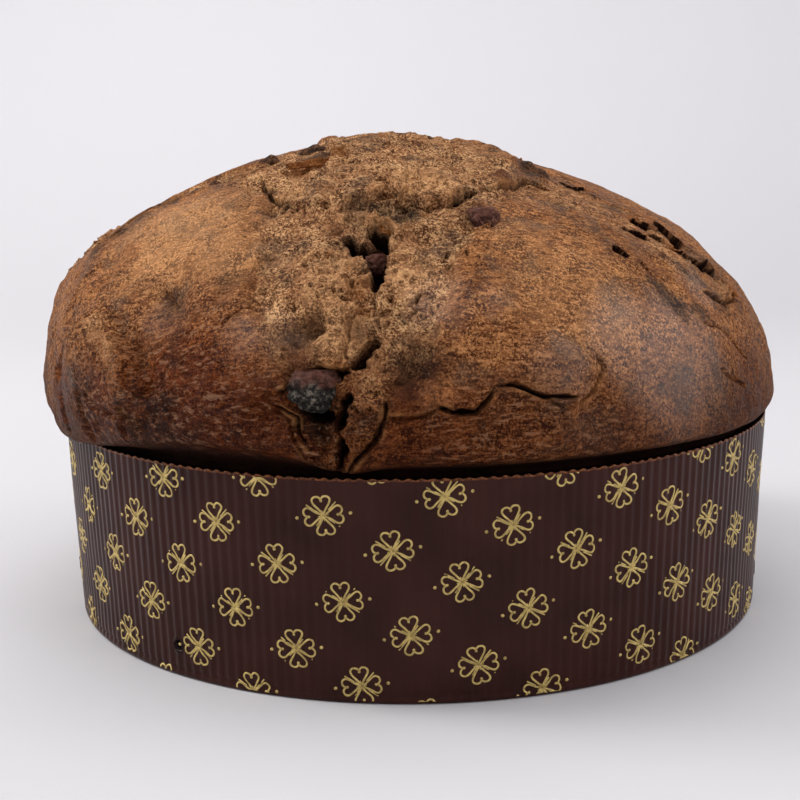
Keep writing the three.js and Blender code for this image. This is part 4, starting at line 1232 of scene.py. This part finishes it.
# a smooth run of points through the given ones
def bend(points, steps):
    line = np.array([(*p, 0.0) for p in points])
    padded = np.vstack([2 * line[0] - line[1], line, 2 * line[-1] - line[-2]])
    run = [line[0]]
    for a, b, c, d in zip(padded[:-3], padded[1:-2], padded[2:-1], padded[3:]):
        for k in range(1, steps + 1):
            t = k / steps
            square, cube = 2 * a - 5 * b + 4 * c - d, 3 * b - a - 3 * c + d
            run.append(0.5 * (2 * b + (c - a) * t + square * t ** 2 + cube * t ** 3))
    return np.array(run)


# a stroke of ink: an edge across the line's start, pulled along it and turned with it
def inkStroke(mesh, line, width):
    ways = unit(np.gradient(line, axis=0))
    sides = np.stack([-ways[:, 1], ways[:, 0], np.zeros(len(line))], 1) * width / 2
    ends = [mesh.verts.new(line[0] - sides[0]), mesh.verts.new(line[0] + sides[0])]
    edge = mesh.edges.new(ends)
    for middle, side in zip(line[1:], sides[1:]):
        grown = bmesh.ops.extrude_edge_only(mesh, edges=[edge])["geom"]
        edge = next(item for item in grown if isinstance(item, bmesh.types.BMEdge))
        tips = [item for item in grown if isinstance(item, bmesh.types.BMVert)]
        tips.sort(key=lambda tip: np.dot(np.array(tip.co) - middle, side))
        tips[0].co, tips[1].co = middle - side, middle + side


def makeClover():
    mesh = bmesh.new()
    c = clover
    leaf = bend(c["leaf"], c["bendSteps"])
    mirror = leaf * np.array([1, -1, 1])
    for quarter in range(4):
        angle = quarter * math.pi / 2
        turn = np.eye(3)
        turn[:2, :2] = [[math.cos(angle), -math.sin(angle)], [math.sin(angle), math.cos(angle)]]
        for line in (leaf, mirror, bend(c["spur"], 1)):
            inkStroke(mesh, line @ turn.T, c["lineWidth"])
        knob = Matrix.Translation(Vector(turn @ np.array([c["spur"][1][0], 0, 0])))
        bmesh.ops.create_circle(mesh, cap_ends=True, segments=8, radius=c["spurDot"], matrix=knob)
    for way, reach in c["stamens"]:
        tip = np.array([math.cos(math.radians(way)), math.sin(math.radians(way)), 0])
        inkStroke(mesh, np.array([tip * 0.3, tip * reach * 0.5, tip * reach]), c["stamenWidth"])
    for ray in range(c["rays"]):
        angle = (ray + 0.07) * 2 * math.pi / c["rays"]
        tip = np.array([math.cos(angle), math.sin(angle), 0])
        inkStroke(mesh, np.array([tip * 0.1, tip * c["rayLength"]]), c["rayWidth"])
    for way in (-1, 1):
        spot = Matrix.Translation((way * c["dotPlace"], 0, 0))
        bmesh.ops.create_circle(mesh, cap_ends=True, segments=10, radius=c["dotRadius"], matrix=spot)
    bmesh.ops.recalc_face_normals(mesh, faces=mesh.faces)
    for face in mesh.faces:
        if face.normal.z < 0:
            face.normal_flip()
    bmesh.ops.rotate(mesh, verts=mesh.verts, matrix=Matrix.Rotation(math.radians(c["tilt"]), 3, "Z"))
    flat = bpy.data.meshes.new("clover")
    mesh.to_mesh(flat)
    mesh.free()
    return flat


def makePrint():
    c = clover
    motif = makeClover()
    halfTurn = math.pi * c["wrapRadius"]
    sheet = bmesh.new()
    for down in range(-30, 31):
        for up in range(-30, 31):
            x = c["origin"][0] + down * c["stepDown"][0] + up * c["stepUp"][0]
            y = c["origin"][1] + down * c["stepDown"][1] + up * c["stepUp"][1]
            # the rows rise towards the sides, because the strip was cut in a curve for the taper
            y += c["rise"] * (1 - math.cos(x / c["wrapRadius"]))
            slope = math.atan(c["rise"] / c["wrapRadius"] * math.sin(x / c["wrapRadius"]))
            if abs(x) > halfTurn + 6 or not -6 < y < mould["height"] + 6:
                continue
            before = len(sheet.verts)
            sheet.from_mesh(motif)
            sheet.verts.ensure_lookup_table()
            turned = Matrix.Rotation(slope + math.pi * ((down + up + 1) % 2), 4, "Z")
            placed = Matrix.Translation((x, y, 0)) @ turned
            bmesh.ops.transform(sheet, matrix=placed, verts=sheet.verts[before:])
    # the printed sheet is cut at the rim, at the floor's fold and where its ends overlap
    for spot, way in (((0, 0.9, 0), (0, -1, 0)), ((0, mould["height"] - 0.9, 0), (0, 1, 0)),
                      ((halfTurn, 0, 0), (1, 0, 0)), ((-halfTurn, 0, 0), (-1, 0, 0))):
        everything = sheet.verts[:] + sheet.edges[:] + sheet.faces[:]
        bmesh.ops.bisect_plane(sheet, geom=everything, plane_co=spot, plane_no=way, clear_outer=True)
    bmesh.ops.triangulate(sheet, faces=sheet.faces[:])
    top = c["inkHeight"]
    bmesh.ops.solidify(sheet, geom=sheet.faces[:], thickness=-(top + c["inkSink"]))
    flat = vertexArray(sheet)
    lifted = flat[:, 2] - flat[:, 2].min()
    angle = flat[:, 0] / c["wrapRadius"]
    radius = wallRadius(angle, flat[:, 1]) + np.where(lifted > 0.5 * top, top, -c["inkSink"])
    for vertex, place in zip(sheet.verts, aroundMould(angle, radius, flat[:, 1]) * mm):
        vertex.co = place
    bmesh.ops.recalc_face_normals(sheet, faces=sheet.faces)
    ink = finishMesh("gold_print", sheet, goldMaterial())
    print("print made with", len(ink.data.polygons), "faces")


# the studio

studio = {
    "floorRadius": 0.75, "coveRadius": 1.1, "wallTop": 2.3,
    "floorColour": (0.66, 0.65, 0.665),
    "lights": {
        "key": {"place": (-1.15, 0.2, 0.9), "size": 0.5, "power": 7.7, "colour": (1.0, 0.985, 0.965)},
        "high key": {"place": (-0.6, -0.1, 1.3), "size": 0.5, "power": 1.8, "colour": (1.0, 0.985, 0.97)},
        "top": {"place": (0.1, 0.20, 1.4), "size": 0.9, "power": 3.3, "colour": (1.0, 0.99, 0.99)},
        "left": {"place": (-1.0, 0.1, 0.35), "size": 0.5, "power": 0.7, "colour": (1.0, 0.99, 0.98),
                 "spread": 120},
        "right": {"place": (1.0, 0.12, 0.38), "size": 0.5, "power": 1.0, "colour": (0.97, 0.97, 1.0),
                  "spread": 120},
        "right front": {"place": (0.8, -0.7, 0.5), "size": 0.5, "power": 0.7, "colour": (0.98, 0.98, 1.0),
                        "spread": 120},
        "backdrop left": {"place": (-0.3, 0.75, 1.05), "size": 0.8, "power": 1.7, "colour": (1.0, 0.99, 1.0),
                          "spread": 110, "aim": (-0.3, 1.6, 0.35)},
        "backdrop right": {"place": (0.4, 0.75, 1.05), "size": 0.8, "power": 0.6, "colour": (0.98, 0.98, 1.0),
                           "spread": 110, "aim": (0.5, 1.6, 0.35)},
    },
    "aim": (0.0, 0.0, 0.07),
    "ambient": (0.985, 0.985, 1.01),
}


def makeStudio():
    mesh = bmesh.new()
    start = mesh.verts.new((studio["floorRadius"], 0, 0))
    centre = (studio["floorRadius"], 0, studio["coveRadius"])
    bmesh.ops.spin(mesh, geom=[start], cent=centre, axis=(0, -1, 0), angle=math.pi / 2, steps=16)
    top = max(mesh.verts, key=lambda vertex: vertex.co.z)
    wall = mesh.verts.new((top.co.x, 0, studio["wallTop"]))
    mesh.edges.new((top, wall))
    middle = mesh.verts.new((0, 0, 0))
    mesh.edges.new((middle, start))
    bmesh.ops.spin(mesh, geom=mesh.verts[:] + mesh.edges[:], cent=(0, 0, 0), axis=(0, 0, 1),
                   angle=2 * math.pi, steps=96, use_merge=True)
    bmesh.ops.remove_doubles(mesh, verts=mesh.verts, dist=1e-5)
    material, _, shader = startMaterial("pale_floor")
    setPlain(shader, {"Base Color": (*studio["floorColour"], 1), "Roughness": 0.9, "Specular IOR Level": 0.1})
    meshObject("cove", mesh, material)

    for name, entry in studio["lights"].items():
        lamp = bpy.data.lights.new(name, "AREA")
        lamp.shape = "DISK"
        lamp.size = entry["size"]
        lamp.energy = entry["power"]
        lamp.spread = math.radians(entry.get("spread", 180))
        lamp.color = entry["colour"]
        light = bpy.data.objects.new(name, lamp)
        light.location = entry["place"]
        aim = Vector(entry.get("aim", studio["aim"]))
        light.rotation_euler = (aim - light.location).to_track_quat("-Z", "Y").to_euler()
        bpy.context.scene.collection.objects.link(light)

    world = bpy.data.worlds.new("studio")
    world.use_nodes = True
    world.node_tree.nodes["Background"].inputs["Color"].default_value = (*studio["ambient"], 1)
    bpy.context.scene.world = world
    bpy.context.scene.view_settings.view_transform = "Standard"


def makeCamera():
    data = bpy.data.cameras.new("camera")
    data.sensor_width = 36
    data.lens = photo["focal"] / photo["side"] * data.sensor_width
    data.clip_start = 0.01
    camera = bpy.data.objects.new("camera", data)
    tilt = math.radians(photo["elevation"])
    back = Vector((0, -math.cos(tilt), math.sin(tilt)))
    eye = (Vector(photo["target"]) + back * photo["distance"]) * mm
    camera.matrix_world = (
        Matrix.Translation(eye)
        @ Matrix.Rotation(math.pi / 2 - tilt, 4, "X")
        @ Matrix.Rotation(math.radians(photo["roll"]), 4, "Z")
    )
    bpy.context.scene.collection.objects.link(camera)
    bpy.context.scene.camera = camera


makeCamera()
makeStudio()
print("studio ready")
makeFlakes(makeLoaf())
makeLumps()
makeMould()
makePrint()
